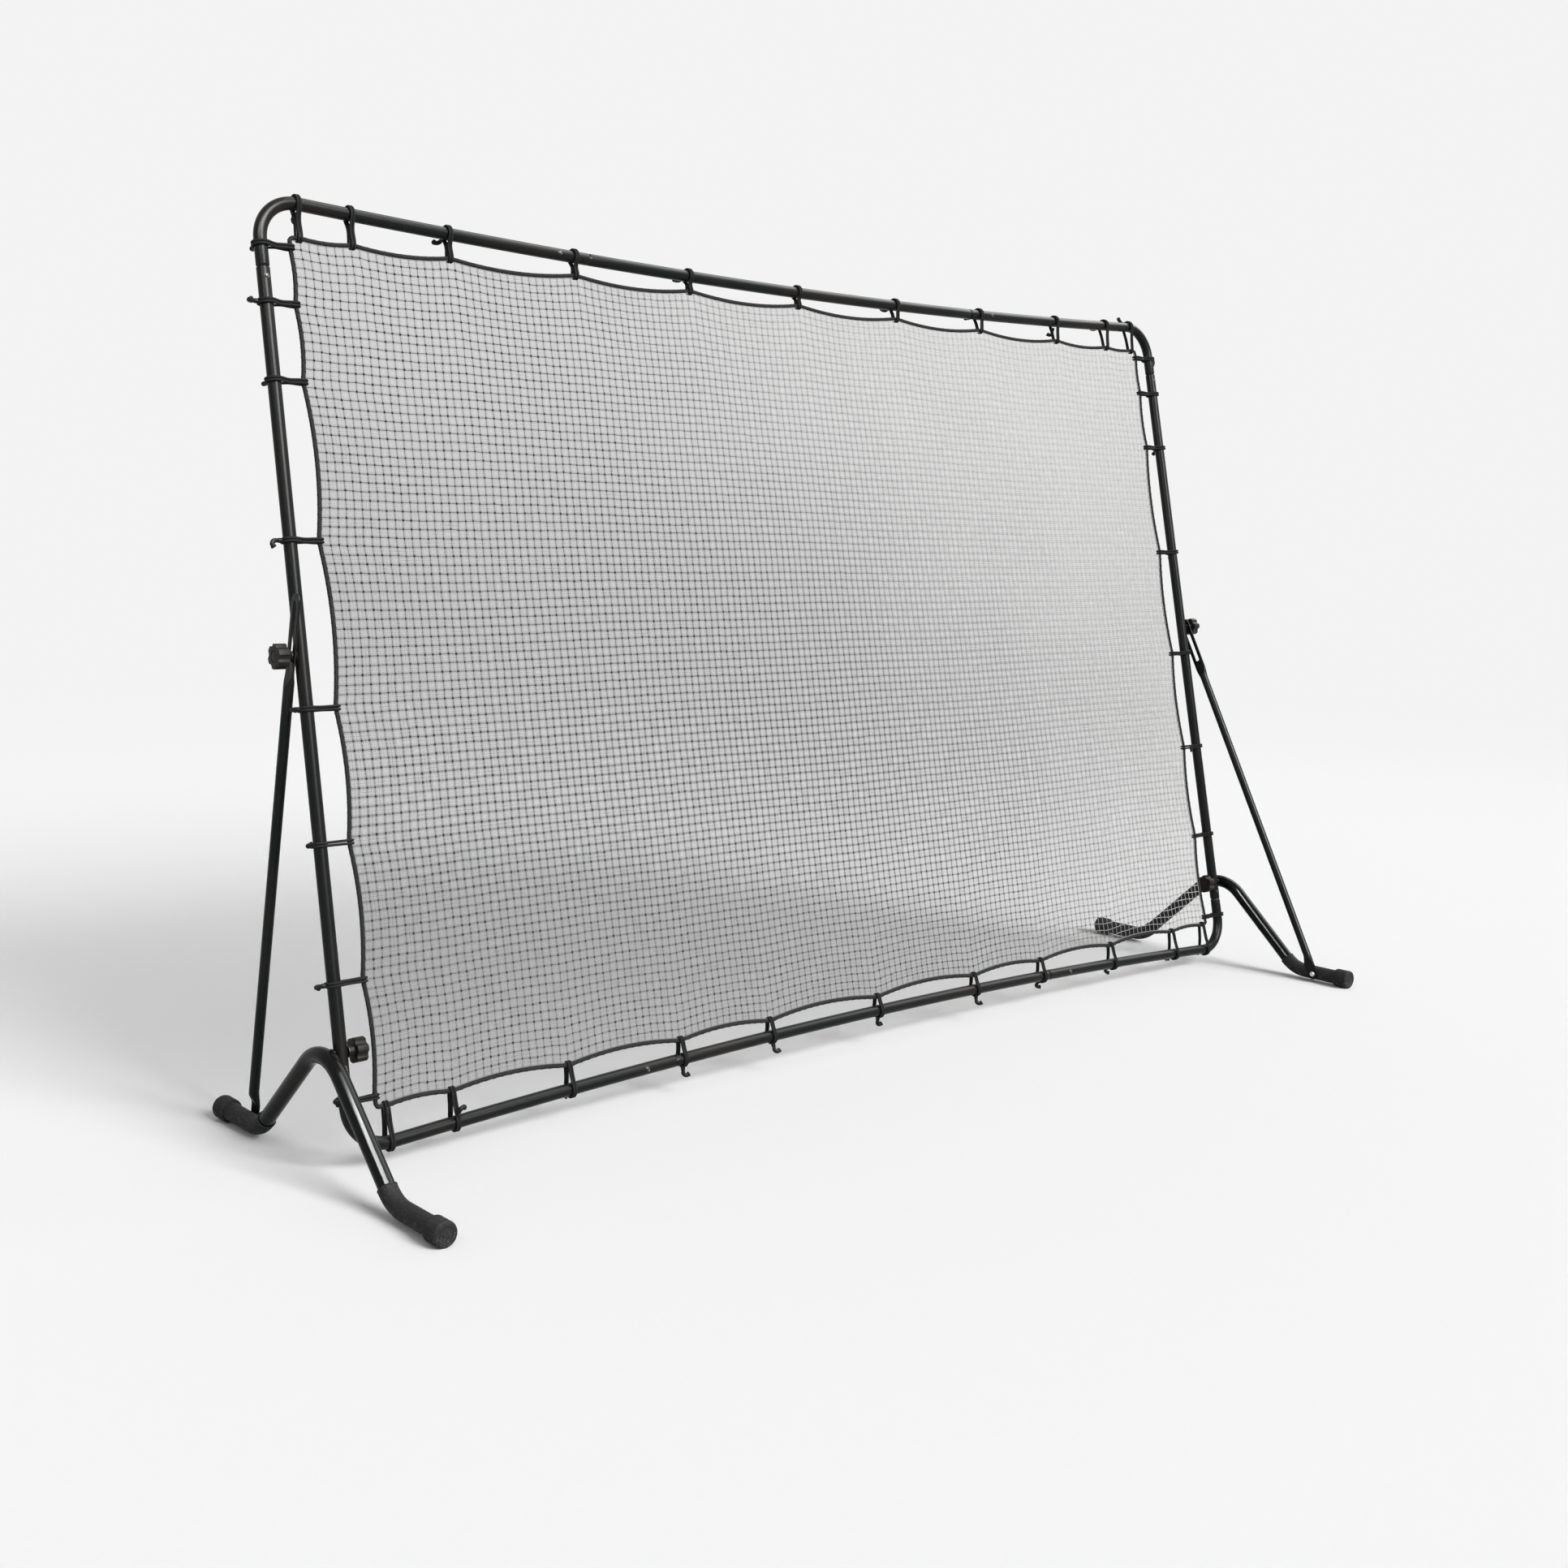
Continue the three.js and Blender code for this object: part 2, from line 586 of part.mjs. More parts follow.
// The netting: strands that run from edge to edge of a scalloped outline, in one flat piece
function netting() {
  const edge = ropeRadius + seatGap;
  const outline = new THREE.Shape(borderLine(edge, tieThickness + seatGap));
  const margin = edge + tieThickness + seatGap + selvedge;
  const [bottom, side, top] = sides;
  const knot = (column, row) => {
    const acrossShare = column / meshColumns;
    const upShare = row / meshRows;
    const across = (2 * acrossShare - 1) * (halfWidth - sideInset - margin);
    const up = THREE.MathUtils.lerp(longInset + margin, frameHeight - longInset - margin, upShare);
    const pinch = scallop(side.ties, up) * (2 * acrossShare - 1);
    const low = scallop(bottom.ties, across) * (1 - upShare);
    const high = scallop(top.ties, across) * upShare;
    return new THREE.Vector2(across - pinch, up + low - high);
  };
  const gaps = [];
  for (let row = 0; row < meshRows; row += 1) {
    for (let column = 0; column < meshColumns; column += 1) {
      const half = strand / 2;
      const corners = [[0, 0, half, half], [1, 0, -half, half], [1, 1, -half, -half], [0, 1, half, -half]];
      const gap = new THREE.Shape(corners.map(([right, up, dx, dy]) => (
        knot(column + right, row + up).add(new THREE.Vector2(dx, dy)))));
      const depth = netThickness + 2 * overrun;
      gaps.push(new THREE.ExtrudeGeometry(gap, { depth, bevelEnabled: false }).translate(0, 0, -overrun));
    }
  }
  const sheet = new THREE.ExtrudeGeometry(outline, { depth: netThickness, bevelEnabled: false });
  const open = shaped(sheet, [], [mergeGeometries(gaps)]);
  return open.translate(0, -lowerBoltAlong, -netThickness / 2).rotateX(Math.PI / 2);
}

// An elastic tie round a tube and the rope, with a hook at its back that curls to one side. The
// tube runs along X through the origin and the rope lies above it.
function elasticTie(reach, hookSide, hookLength) {
  const big = (frameTube / 2 + tieSlack) / Math.cos(radians(tieStep) / 2) + tieThickness / 2;
  const small = (ropeRadius + seatGap) / Math.cos(radians(ropeStep) / 2) + tieThickness / 2;
  const tangent = Math.acos((big - small) / reach);
  const centres = [];
  const sweepRound = (radius, height, from, to, step) => {
    const steps = Math.ceil((to - from) / radians(step));
    for (let k = 0; k <= steps; k += 1) {
      const angle = THREE.MathUtils.lerp(from, to, k / steps);
      centres.push({ y: radius * Math.sin(angle), z: height + radius * Math.cos(angle), angle });
    }
  };
  sweepRound(small, reach, -tangent, tangent, ropeStep);
  sweepRound(big, 0, tangent, 2 * Math.PI - tangent, tieStep);
  const rings = centres.map(({ y, z, angle }) => {
    const out = new THREE.Vector3(0, Math.sin(angle), Math.cos(angle)).multiplyScalar(tieThickness / 2);
    const centre = new THREE.Vector3(0, y, z);
    return [[-1, -1], [1, -1], [1, 1], [-1, 1]].map(([side, level]) => (
      centre.clone().addScaledVector(out, level).setX(side * tieWidth / 2)));
  });
  const back = -big;
  const hook = new THREE.Shape();
  hook.moveTo(0, back);
  hook.lineTo(0, back - hookLength);
  hook.lineTo(hookSide * hookCurl, back - hookLength);
  hook.lineTo(hookSide * hookCurl, back - hookLength + hookThickness);
  hook.lineTo(hookSide * hookThickness, back - hookLength + hookThickness);
  hook.lineTo(hookSide * hookThickness, back);
  const hookSolid = new THREE.ExtrudeGeometry(hook, { depth: hookWidth, bevelEnabled: false });
  hookSolid.translate(0, 0, -hookWidth / 2).rotateX(Math.PI / 2).rotateZ(Math.PI / 2);
  return shaped(skin(rings, true), [hookSolid], []);
}

const part = new THREE.Group();
const frame = new THREE.Group();
frame.position.z = boltHeight;
frame.rotation.x = -lean;
part.add(frame);

function place(parent, name, geometry, finish, turn = {}) {
  const mesh = new THREE.Mesh(geometry, new THREE.MeshStandardMaterial(finish));
  mesh.name = name;
  mesh.position.set(turn.x ?? 0, turn.y ?? 0, turn.z ?? 0);
  mesh.rotation.set(turn.aboutX ?? 0, turn.aboutY ?? 0, turn.aboutZ ?? 0);
  parent.add(mesh);
  return mesh;
}

function addFrameTubes() {
  // Turned over about the middle of the frame's height, the lower tubes become the upper ones
  const middle = new THREE.Group();
  middle.position.z = frameHeight / 2 - lowerBoltAlong;
  frame.add(middle);
  const lowered = (geometry) => geometry.translate(0, 0, -middle.position.z);
  const corner = lowered(cornerTube());
  const centre = lowered(middleTube());
  place(middle, 'corner_tube_bottom_left', corner, finishes.frame);
  place(middle, 'corner_tube_top_right', corner, finishes.frame, { aboutY: Math.PI });
  place(middle, 'corner_tube_bottom_right', corner, finishes.frame, { aboutZ: Math.PI });
  place(middle, 'corner_tube_top_left', corner, finishes.frame, { aboutX: Math.PI });
  place(middle, 'middle_tube_bottom', centre, finishes.frame);
  place(middle, 'middle_tube_top', centre, finishes.frame, { aboutX: Math.PI });
  const upright = post();
  place(frame, 'post_left', upright, finishes.frame, { x: -halfWidth });
  place(frame, 'post_right', upright, finishes.frame, { x: halfWidth, aboutZ: Math.PI });
}

function addNet() {
  place(frame, 'netting', netting(), finishes.netting);
  place(frame, 'border_rope', borderRope(), finishes.rope);
}

function addTies() {
  const turns = { bottom: 0, right: -Math.PI / 2, top: Math.PI, left: Math.PI / 2 };
  for (const { name, inset, ties, hook, at } of sides) {
    const bowed = name === 'bottom' || name === 'top';
    const hookSide = name === 'right' ? 1 : -1; // away from the strut
    ties.forEach((along, i) => {
      const draw = bowed ? drawIn(along) : 0;
      const seat = at(along, draw);
      const tie = elasticTie(inset - draw, hookSide, hook);
      place(frame, `tie_${name}_${i + 1}`, tie, finishes.tie, {
        x: seat.x, z: seat.y - lowerBoltAlong, aboutY: turns[name],
      });
    });
  }
}

// The right stand is the left one turned half round, so its strut stands in front of the net
function addStand(side, turn) {
  const group = new THREE.Group();
  group.position.x = side === 'left' ? -halfWidth - standOffset : halfWidth + standOffset;
  group.rotation.z = turn;
  part.add(group);
  place(group, `stand_${side}`, stand(), finishes.stand);
  const towards = side === 'left' ? 1 : -1;
  const [nearPivot, farFromPivot] = side === 'left' ? ['rear', 'front'] : ['front', 'rear'];
  place(group, `foot_sleeve_${side}_${nearPivot}`, footSleeve(true), finishes.sleeve);
  place(group, `foot_sleeve_${side}_${farFromPivot}`, footSleeve(false), finishes.sleeve, {
    aboutZ: Math.PI,
  });
  const aim = pivotToBolt(towards * lean);
  place(group, `strut_${side}`, strut(), finishes.strut, {
    x: standOffset - strutInset, y: strutFoot, z: footHeight, aboutX: Math.atan2(-aim.x, aim.y),
  });
}

function addKnobs() {
  const lowerBolt = frameTube + 2 * seatGap + bossLength + lowerBoltBite;
  const lower = starKnob(lowerBolt);
  const upperSeat = strutInset + strutFlat / 2 + seatGap;
  const upper = starKnob(upperSeat - frameTube / 2 + upperBoltBite);
  const lowerSeat = frameTube / 2 + seatGap;
  place(frame, 'lower_knob_left', lower, finishes.knob, { x: -halfWidth + lowerSeat });
  place(frame, 'lower_knob_right', lower, finishes.knob, { x: halfWidth - lowerSeat, aboutZ: Math.PI });
  place(frame, 'upper_knob_left', upper, finishes.knob, {
    x: -halfWidth - upperSeat, z: boltSpan, aboutZ: Math.PI,
  });
  place(frame, 'upper_knob_right', upper, finishes.knob, { x: halfWidth + upperSeat, z: boltSpan });
}

addFrameTubes();
addNet();
addTies();
addStand('left', 0);
addStand('right', Math.PI);
addKnobs();

export default part;
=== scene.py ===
import math
import random

import bmesh
import bpy
import numpy as np
from mathutils import Matrix, Vector


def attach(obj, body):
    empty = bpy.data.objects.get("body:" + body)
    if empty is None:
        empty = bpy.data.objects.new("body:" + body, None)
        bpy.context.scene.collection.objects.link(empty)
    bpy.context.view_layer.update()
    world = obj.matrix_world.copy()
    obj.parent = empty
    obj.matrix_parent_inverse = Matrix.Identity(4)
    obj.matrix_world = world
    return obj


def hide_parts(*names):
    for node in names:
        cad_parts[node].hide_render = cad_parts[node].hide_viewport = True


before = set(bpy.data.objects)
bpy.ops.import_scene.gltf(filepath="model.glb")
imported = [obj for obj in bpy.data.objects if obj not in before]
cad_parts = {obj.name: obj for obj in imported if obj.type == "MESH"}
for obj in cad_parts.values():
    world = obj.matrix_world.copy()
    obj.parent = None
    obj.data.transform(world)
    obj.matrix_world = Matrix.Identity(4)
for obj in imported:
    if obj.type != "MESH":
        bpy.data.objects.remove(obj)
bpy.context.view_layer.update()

random.seed(11)
print("frame loaded:", len(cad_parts), "CAD nodes")

# Sizes of the whole net, in metres, as the CAD has them
layout = {
    "halfWidth": 1.5,  # from the middle to a post's centre line
    "height": 1.95,  # between the centre lines of the long tubes
    "lean": math.radians(11.5),
    "boltHeight": 0.246574,
    "lowerBolt": 0.2,  # up the post
    "upperBolt": 1.0,
    "standOffset": 0.0375,  # from a post's centre line out to its stand
    "strutInset": 0.022,
    "tube": 0.028,
    "bow": 0.044,  # how far the net draws each long tube in
    "background": 0.896,
}

cameraSettings = {
    "place": (-3.1982, -3.1390, 1.3010),
    "yaw": 41.4604,  # degrees from +Y towards +X
    "pitch": -5.7351,
    "roll": 1.2281,
    "lens": 41.0,
    "shift": (0.02064, -0.04712),
}


def addedToScene(name, data):
    made = bpy.data.objects.new(name, data)
    bpy.context.scene.collection.objects.link(made)
    return made


def placeCamera():
    s = cameraSettings
    yaw, pitch, roll = (math.radians(s[word]) for word in ("yaw", "pitch", "roll"))
    ahead = Vector((math.sin(yaw) * math.cos(pitch), math.cos(yaw) * math.cos(pitch), math.sin(pitch)))
    right = ahead.cross(Vector((0, 0, 1))).normalized()
    up = right.cross(ahead)
    turnedRight = right * math.cos(roll) + up * math.sin(roll)
    turnedUp = up * math.cos(roll) - right * math.sin(roll)
    lens = bpy.data.cameras.new("camera")
    lens.lens, lens.sensor_width = s["lens"], 36
    lens.shift_x, lens.shift_y = s["shift"]
    lens.clip_start, lens.clip_end = 0.05, 400
    camera = addedToScene("camera", lens)
    axes = Matrix((turnedRight, turnedUp, -ahead)).transposed().to_4x4()
    camera.matrix_world = Matrix.Translation(s["place"]) @ axes
    bpy.context.scene.camera = camera


placeCamera()


# Materials. A wired value adds its own Math nodes when it is used in an expression.
class Wired:
    def __init__(self, sheet, socket):
        self.sheet, self.socket = sheet, socket

    def __add__(self, other):
        return self.sheet.maths("ADD", self, other)

    def __sub__(self, other):
        return self.sheet.maths("SUBTRACT", self, other)

    def __rsub__(self, other):
        return self.sheet.maths("SUBTRACT", other, self)

    def __mul__(self, other):
        return self.sheet.maths("MULTIPLY", self, other)

    __radd__, __rmul__ = __add__, __mul__

    def above(self, edge, softness):
        return self.sheet.node("MapRange", {"interpolation_type": "SMOOTHSTEP"}, {
            "Value": self, "From Min": edge - softness, "From Max": edge + softness})

    def between(self, low, high):
        return self.sheet.node("MapRange", {}, {"Value": self, "To Min": low, "To Max": high})


class NodeSheet:
    def __init__(self, owner):
        self.tree = owner.node_tree
        self.tree.nodes.clear()

    def node(self, kind, settings=None, inputs=None, out=0):
        made = self.tree.nodes.new("ShaderNode" + kind)
        for word, value in (settings or {}).items():
            setattr(made, word, value)
        for word, value in (inputs or {}).items():
            if isinstance(value, Wired):
                self.tree.links.new(value.socket, made.inputs[word])
            else:
                made.inputs[word].default_value = value
        return Wired(self, made.outputs[out])

    def maths(self, how, first, second=0.0):
        return self.node("Math", {"operation": how}, {0: first, 1: second})

    def mixed(self, amount, first, second):
        return self.node("Mix", {"data_type": "RGBA"}, {0: amount, 6: first, 7: second}, out=2)

    def parts(self, where):
        split = self.node("SeparateXYZ", {}, {"Vector": where})
        return [Wired(self, output) for output in split.socket.node.outputs]

    def show(self, shader, kind="Material"):
        output = self.tree.nodes.new("ShaderNodeOutput" + kind)
        self.tree.links.new(shader.socket, output.inputs["Surface"])


class Finish(NodeSheet):
    def __init__(self, name):
        self.material = bpy.data.materials.new(name)
        self.material.use_nodes = True
        super().__init__(self.material)
        self.place = self.node("TexCoord", out="Object")
        self.along = Wired(self, self.place.socket.node.outputs["UV"])

    def noise(self, scale, detail=3.0, roughness=0.55, stretch=None):
        where = self.node("Mapping", {}, {"Vector": self.place, "Scale": stretch}) if stretch else self.place
        return self.node("TexNoise", {}, {
            "Vector": where, "Scale": scale, "Detail": detail, "Roughness": roughness})

    def bump(self, height, distance, strength=1.0):
        return self.node("Bump", {}, {"Height": height, "Distance": distance, "Strength": strength})

    def surface(self, **sockets):
        inputs = {word.replace("_", " "): value for word, value in sockets.items()}
        shader = self.node("BsdfPrincipled", {}, inputs)
        self.show(shader)
        return self.material


def shade(red, green=None, blue=None):
    return (red, red if green is None else green, red if blue is None else blue, 1.0)


# Glossy powder coat: fine orange peel, a faint brown tint in patches, a little dust
def powderCoat(name, dark, warm, gloss, level):
    f = Finish(name)
    patches = f.noise(scale=5.0, detail=4.0)
    tint = f.mixed(patches.above(edge=0.54, softness=0.12), dark, warm)
    dust = f.noise(scale=240.0, detail=5.0, roughness=0.7).above(edge=0.66, softness=0.05)
    smears = f.noise(scale=3.0, detail=5.0, stretch=(14.0, 14.0, 3.0))
    peel = f.noise(scale=620.0, detail=2.0) + f.noise(scale=2200.0, detail=2.0) * 0.2
    return f.surface(
        Base_Color=f.mixed(dust * 0.1, tint, shade(0.07, 0.069, 0.065)),
        Roughness=smears * 0.06 + dust * 0.03 + gloss,
        Normal=f.bump(peel, distance=0.0000014),
        Specular_IOR_Level=level,
    )


# Rubber that is scuffed near the floor
def rubber(name, base, scuffed):
    f = Finish(name)
    grain = f.noise(scale=1500.0)
    streaks = f.noise(scale=4.0, detail=6.0, roughness=0.7, stretch=(60.0, 20.0, 60.0))
    low = 1 - f.parts(f.place)[2].above(edge=0.02, softness=0.018)
    return f.surface(
        Base_Color=f.mixed(streaks.above(edge=0.58, softness=0.1) * (low * 0.7 + 0.16), base, scuffed),
        Roughness=grain * 0.2 + 0.62,
        Normal=f.bump(grain, distance=0.00012),
        Specular_IOR_Level=0.13,
    )


def mouldedPlastic(name, base, tint, gloss):
    f = Finish(name)
    spark = f.node("TexVoronoi", {}, {"Vector": f.place, "Scale": 900.0})
    clouds = f.noise(scale=60.0)
    wear = f.noise(scale=300.0, detail=6.0, roughness=0.75).above(edge=0.63, softness=0.06)
    return f.surface(
        Base_Color=f.mixed(wear * 0.3, f.mixed(clouds, base, tint), shade(0.07, 0.066, 0.058)),
        Roughness=clouds * 0.12 + wear * 0.15 + gloss,
        Normal=f.bump(spark, distance=0.00008, strength=0.7),
        Specular_IOR_Level=0.085,
    )


# Braid that follows a cord: two sets of strands cross over along its UV map, whose U runs once
# round the cord and whose V counts its turns
def braid(name, base, light, relief, strands=4):
    f = Finish(name)
    across, along, _ = f.parts(f.along)
    rising = f.maths("SINE", (across * strands + along) * math.tau)
    falling = f.maths("SINE", (across * strands - along) * math.tau)
    weave = f.maths("MAXIMUM", rising, falling) * 0.5 + 0.5
    fluff = f.noise(scale=1400.0, detail=4.0, roughness=0.7)
    return f.surface(
        Base_Color=f.mixed(weave * 0.6 + fluff * 0.4, base, light),
        Roughness=fluff * 0.15 + 0.68,
        Normal=f.bump(weave + fluff * 0.4, distance=relief),
        Specular_IOR_Level=0.09,
    )


# The net's threads turn to a painted sheen towards its upper right corner, where its fluff also thins
def paintedSheenShare(f):
    right, _, up = f.parts(f.place)
    cloud = f.noise(scale=2.2).between(low=-0.1, high=0.1)
    return (right * 0.27 + up * 0.25 + cloud).above(edge=0.4, softness=0.28)


def twine(name, dark, light, sheenTone):
    f = Finish(name)
    lay = f.noise(scale=800.0, roughness=0.6)
    age = f.noise(scale=3.0, detail=4.0)
    # Base colour blends into sheenTone, a painted sheen, towards the upper right
    return f.surface(
        Base_Color=f.mixed(paintedSheenShare(f), f.mixed(lay * 0.5 + age * 0.5, dark, light), sheenTone),
        Roughness=lay * 0.2 + 0.65,
        Normal=f.bump(lay, distance=0.0002),
        Specular_IOR_Level=0.1,
    )


# Loose fibres beside a thread, on a flat band whose U runs across it, thickest by the thread
def twineFluff(name):
    f = Finish(name)
    across, up = f.parts(f.along)[0], f.parts(f.place)[2]
    middle = 1 - f.maths("ABSOLUTE", across * 2 - 1)
    hairs = f.noise(scale=1900.0, detail=4.0, roughness=0.75).above(edge=0.5, softness=0.16)
    nearTop = up.above(edge=1.45, softness=0.5)
    nearBottom = 1 - up.above(edge=0.45, softness=0.35)
    thick = (middle * middle * 0.3 + 0.21) * (hairs * 0.6 + 0.6)
    # Fluff thins where the threads carry painted sheen, and near the top and bottom
    thinned = paintedSheenShare(f).between(low=1.0, high=0.62) * (1 - (nearTop * 0.66 + nearBottom * 0.8) * 0.5)
    return f.surface(
        Base_Color=f.mixed(hairs, shade(0.014, 0.014, 0.015), shade(0.03, 0.03, 0.031)),
        Alpha=thick * thinned,
        Roughness=0.9, Specular_IOR_Level=0.1,
    )


def brushedSteel(name, dark, light):
    f = Finish(name)
    spangle = f.noise(scale=130.0, detail=4.0)
    brushed = f.noise(scale=1.0, stretch=(40.0, 900.0, 900.0))
    return f.surface(
        Base_Color=f.mixed(spangle, shade(dark, dark, dark * 0.96), shade(light, light * 0.99, light * 0.94)),
        Metallic=1.0,
        Roughness=spangle * 0.15 + brushed * 0.12 + 0.22,
        Normal=f.bump(brushed, distance=0.00004),
    )


recipes = {
    "framePaint": (powderCoat, shade(0.004, 0.005, 0.005), shade(0.009, 0.008, 0.007), 0.29, 0.11),
    "standPaint": (powderCoat, shade(0.004, 0.005, 0.005), shade(0.006, 0.0056, 0.005), 0.12, 0.09),
    "strutPaint": (powderCoat, shade(0.005, 0.007, 0.007), shade(0.011, 0.011, 0.010), 0.22, 0.1),
    "sleeveRubber": (rubber, shade(0.011, 0.011, 0.012), shade(0.12, 0.117, 0.11)),
    "knobPlastic": (mouldedPlastic, shade(0.009, 0.009, 0.008), shade(0.018, 0.015, 0.010), 0.36),
    "hookPlastic": (mouldedPlastic, shade(0.006), shade(0.011), 0.3),
    "tieElastic": (braid, shade(0.003), shade(0.016, 0.016, 0.017), 0.0003),
    "ropeBraid": (braid, shade(0.005, 0.005, 0.006), shade(0.026, 0.026, 0.028), 0.0006),
    # The last shade of each twine is its painted sheen
    "netTwine": (twine, shade(0.2, 0.2, 0.201), shade(0.34, 0.34, 0.342), shade(0.76, 0.75, 0.73)),
    "netKnot": (twine, shade(0.008), shade(0.028, 0.028, 0.029), shade(0.5, 0.49, 0.48)),
    "netLace": (twine, shade(0.005), shade(0.018, 0.018, 0.019), shade(0.03)),
    "netFluff": (twineFluff,),
    "zincSteel": (brushedSteel, 0.42, 0.62),
    "blackSteel": (brushedSteel, 0.035, 0.07),
}
finishes = {name: recipe[0](name, *recipe[1:]) for name, recipe in recipes.items()}
print("materials ready:", len(finishes))


# Work in edit mode
def clearSelection():
    if bpy.context.object and bpy.context.object.mode == "EDIT":
        bpy.ops.object.mode_set(mode="OBJECT")
    bpy.ops.object.select_all(action="DESELECT")


def selectOnly(piece):
    clearSelection()
    piece.select_set(True)
    bpy.context.view_layer.objects.active = piece


def startEdit(piece, kind="VERT", everything=False):
    selectOnly(piece)
    bpy.ops.object.mode_set(mode="EDIT")
    bpy.ops.mesh.select_mode(type=kind)
    if everything:
        bpy.ops.mesh.select_all(action="SELECT")


def pick(test, kind="verts"):
    mesh = bmesh.from_edit_mesh(bpy.context.object.data)
    for some in (mesh.verts, mesh.edges, mesh.faces):
        for one in some:
            one.select = False
    chosen = [one for one in getattr(mesh, kind) if test(one)]
    for one in chosen:
        one.select_set(True)
    bmesh.update_edit_mesh(bpy.context.object.data)
    return len(chosen)


def resizeAbout(middle, size):
    bpy.ops.transform.resize(value=size, center_override=tuple(middle))


def bevelPicked(offset, segments):
    bpy.ops.mesh.bevel(offset=offset, segments=segments, affect="EDGES")


def bevelFaces(piece, test, offset, segments):
    startEdit(piece, "FACE")
    pick(lambda face: test(face.normal), "faces")
    bevelPicked(offset, segments)
    clearSelection()


def removed(*pieces):
    for piece in pieces:
        bpy.data.objects.remove(piece)


def applyModifier(piece, kind, **settings):
    selectOnly(piece)
    added = piece.modifiers.new(kind.lower(), kind)
    for word, value in settings.items():
        setattr(added, word, value)
    bpy.ops.object.modifier_apply(modifier=added.name)


def cutWith(piece, cutter, how="DIFFERENCE"):
    applyModifier(piece, "BOOLEAN", operation=how, object=cutter, solver="EXACT")
    removed(cutter)


def bevelSharp(piece, width, segments, degrees):
    applyModifier(piece, "BEVEL", width=width, segments=segments, limit_method="ANGLE",
                  angle_limit=math.radians(degrees))


def smoothed(piece, degrees):
    selectOnly(piece)
    bpy.ops.object.shade_smooth_by_angle(angle=math.radians(degrees))


def facedOut(piece, weld=True):
    startEdit(piece, everything=True)
    if weld:
        bpy.ops.mesh.remove_doubles(threshold=0.00001)
    bpy.ops.mesh.normals_make_consistent(inside=False)
    clearSelection()


def renamed(piece, name):
    piece.name = piece.data.name = name
    return piece


def applyPlace():
    bpy.ops.object.transform_apply(location=True, rotation=True, scale=True)
    return bpy.context.object


def turnedTo(facing):
    return Vector((0, 0, 1)).rotation_difference(Vector(facing)).to_euler()


def newCylinder(radius, low, high, sides=32, at=(0, 0, 0), axis=(1, 0, 0)):
    clearSelection()
    middle = Vector(at) + Vector(axis) * ((low + high) / 2)
    bpy.ops.mesh.primitive_cylinder_add(
        vertices=sides, radius=radius, depth=high - low, location=middle, rotation=turnedTo(axis))
    return applyPlace()


def newTorus(radius, thick, sides, at, turn):
    clearSelection()
    bpy.ops.mesh.primitive_torus_add(major_radius=radius, minor_radius=thick, major_segments=sides,
                                     minor_segments=8, location=at, rotation=turn)
    return applyPlace()


# A tube drawn out of one ring of edges, step by step
class TubeDrawing:
    def __init__(self, radius, start, facing, sides=32):
        clearSelection()
        bpy.ops.mesh.primitive_circle_add(
            vertices=sides, radius=radius, location=start, rotation=turnedTo(facing))
        startEdit(applyPlace(), everything=True)
        self.at = Vector(start)

    def to(self, place, size=None):
        step = Vector(place) - self.at
        bpy.ops.mesh.extrude_region_move(TRANSFORM_OT_translate={"value": step})
        self.at = Vector(place)
        if size:
            resizeAbout(self.at, size if hasattr(size, "__len__") else (size,) * 3)

    def bend(self, centre, axis, degrees, steps):
        centre = Vector(centre)
        bpy.ops.mesh.spin(steps=steps, angle=-math.radians(degrees), center=centre, axis=axis)
        turn = Matrix.Rotation(math.radians(degrees), 3, Vector(axis))
        self.at = centre + turn @ (self.at - centre)

    def shut(self, margin=0.0006):
        bpy.ops.mesh.edge_face_add()
        bpy.ops.mesh.inset(thickness=margin)
        bpy.ops.mesh.poke()

    def named(self, name, wall=None):
        bpy.ops.object.mode_set(mode="OBJECT")
        piece = renamed(bpy.context.object, name)
        facedOut(piece)
        if wall:
            applyModifier(piece, "SOLIDIFY", thickness=wall, offset=-1, use_even_offset=True)
        return piece


def copied(piece, name, matrix):
    twin = piece.copy()
    twin.data = piece.data.copy()
    renamed(twin, name)
    bpy.context.scene.collection.objects.link(twin)
    twin.data.transform(matrix)
    if matrix.determinant() < 0:
        facedOut(twin)
    return twin


# The frame's own axes: X along the net, Y off its back, Z up the posts from the lower bolts
onFrame = Matrix.Translation((0, 0, layout["boltHeight"])) @ Matrix.Rotation(-layout["lean"], 4, "X")
onStand = {
    "left": Matrix.Translation((-layout["halfWidth"] - layout["standOffset"], 0, 0)),
    "right": Matrix.Translation((layout["halfWidth"] + layout["standOffset"], 0, 0))
    @ Matrix.Rotation(math.pi, 4, "Z"),
}


def finished(piece, finish, body, stands=(), matrix=None, smooth=35):
    if matrix is not None:
        piece.data.transform(matrix)
    piece.data.materials.clear()
    piece.data.materials.append(finishes[finish])
    if smooth:
        smoothed(piece, smooth)
    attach(piece, body)
    if stands:
        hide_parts(*stands)


frameTubes = {
    "wall": 0.0012,
    "seam": 0.67,  # from the middle of a long side to a corner tube's end
    "postSeam": 0.15,
    "postGap": 0.0003,
    "bendRadius": 0.086,
    "legSteps": 12,
    "bendSteps": 14,
    "middleSteps": 16,
    "postSteps": 7,
    "longSpigot": 0.12,
    "shortSpigot": 0.036,
    "swage": 0.006,
    # how far back from the seam, in swages, and how much wider or thinner than the ring before
    "cornerSwage": [(1, None), (0.7, 0.98), (0.3, 0.9), (0, 0.99)],
    "middleStart": [(0, None), (0.3, 1.01), (0.7, 1 / 0.9), (1, 1 / 0.9755)],
    "middleEnd": [(0.7, 0.9755), (0.3, 0.9), (0, 0.99)],
    "middleSpigot": 0.868,  # of the tube's radius
    "rim": 0.0007,
    "rimShare": 0.95,  # of the tube's radius
}


def drawIn(along):
    return layout["bow"] * (1 - (along / layout["halfWidth"]) ** 2)


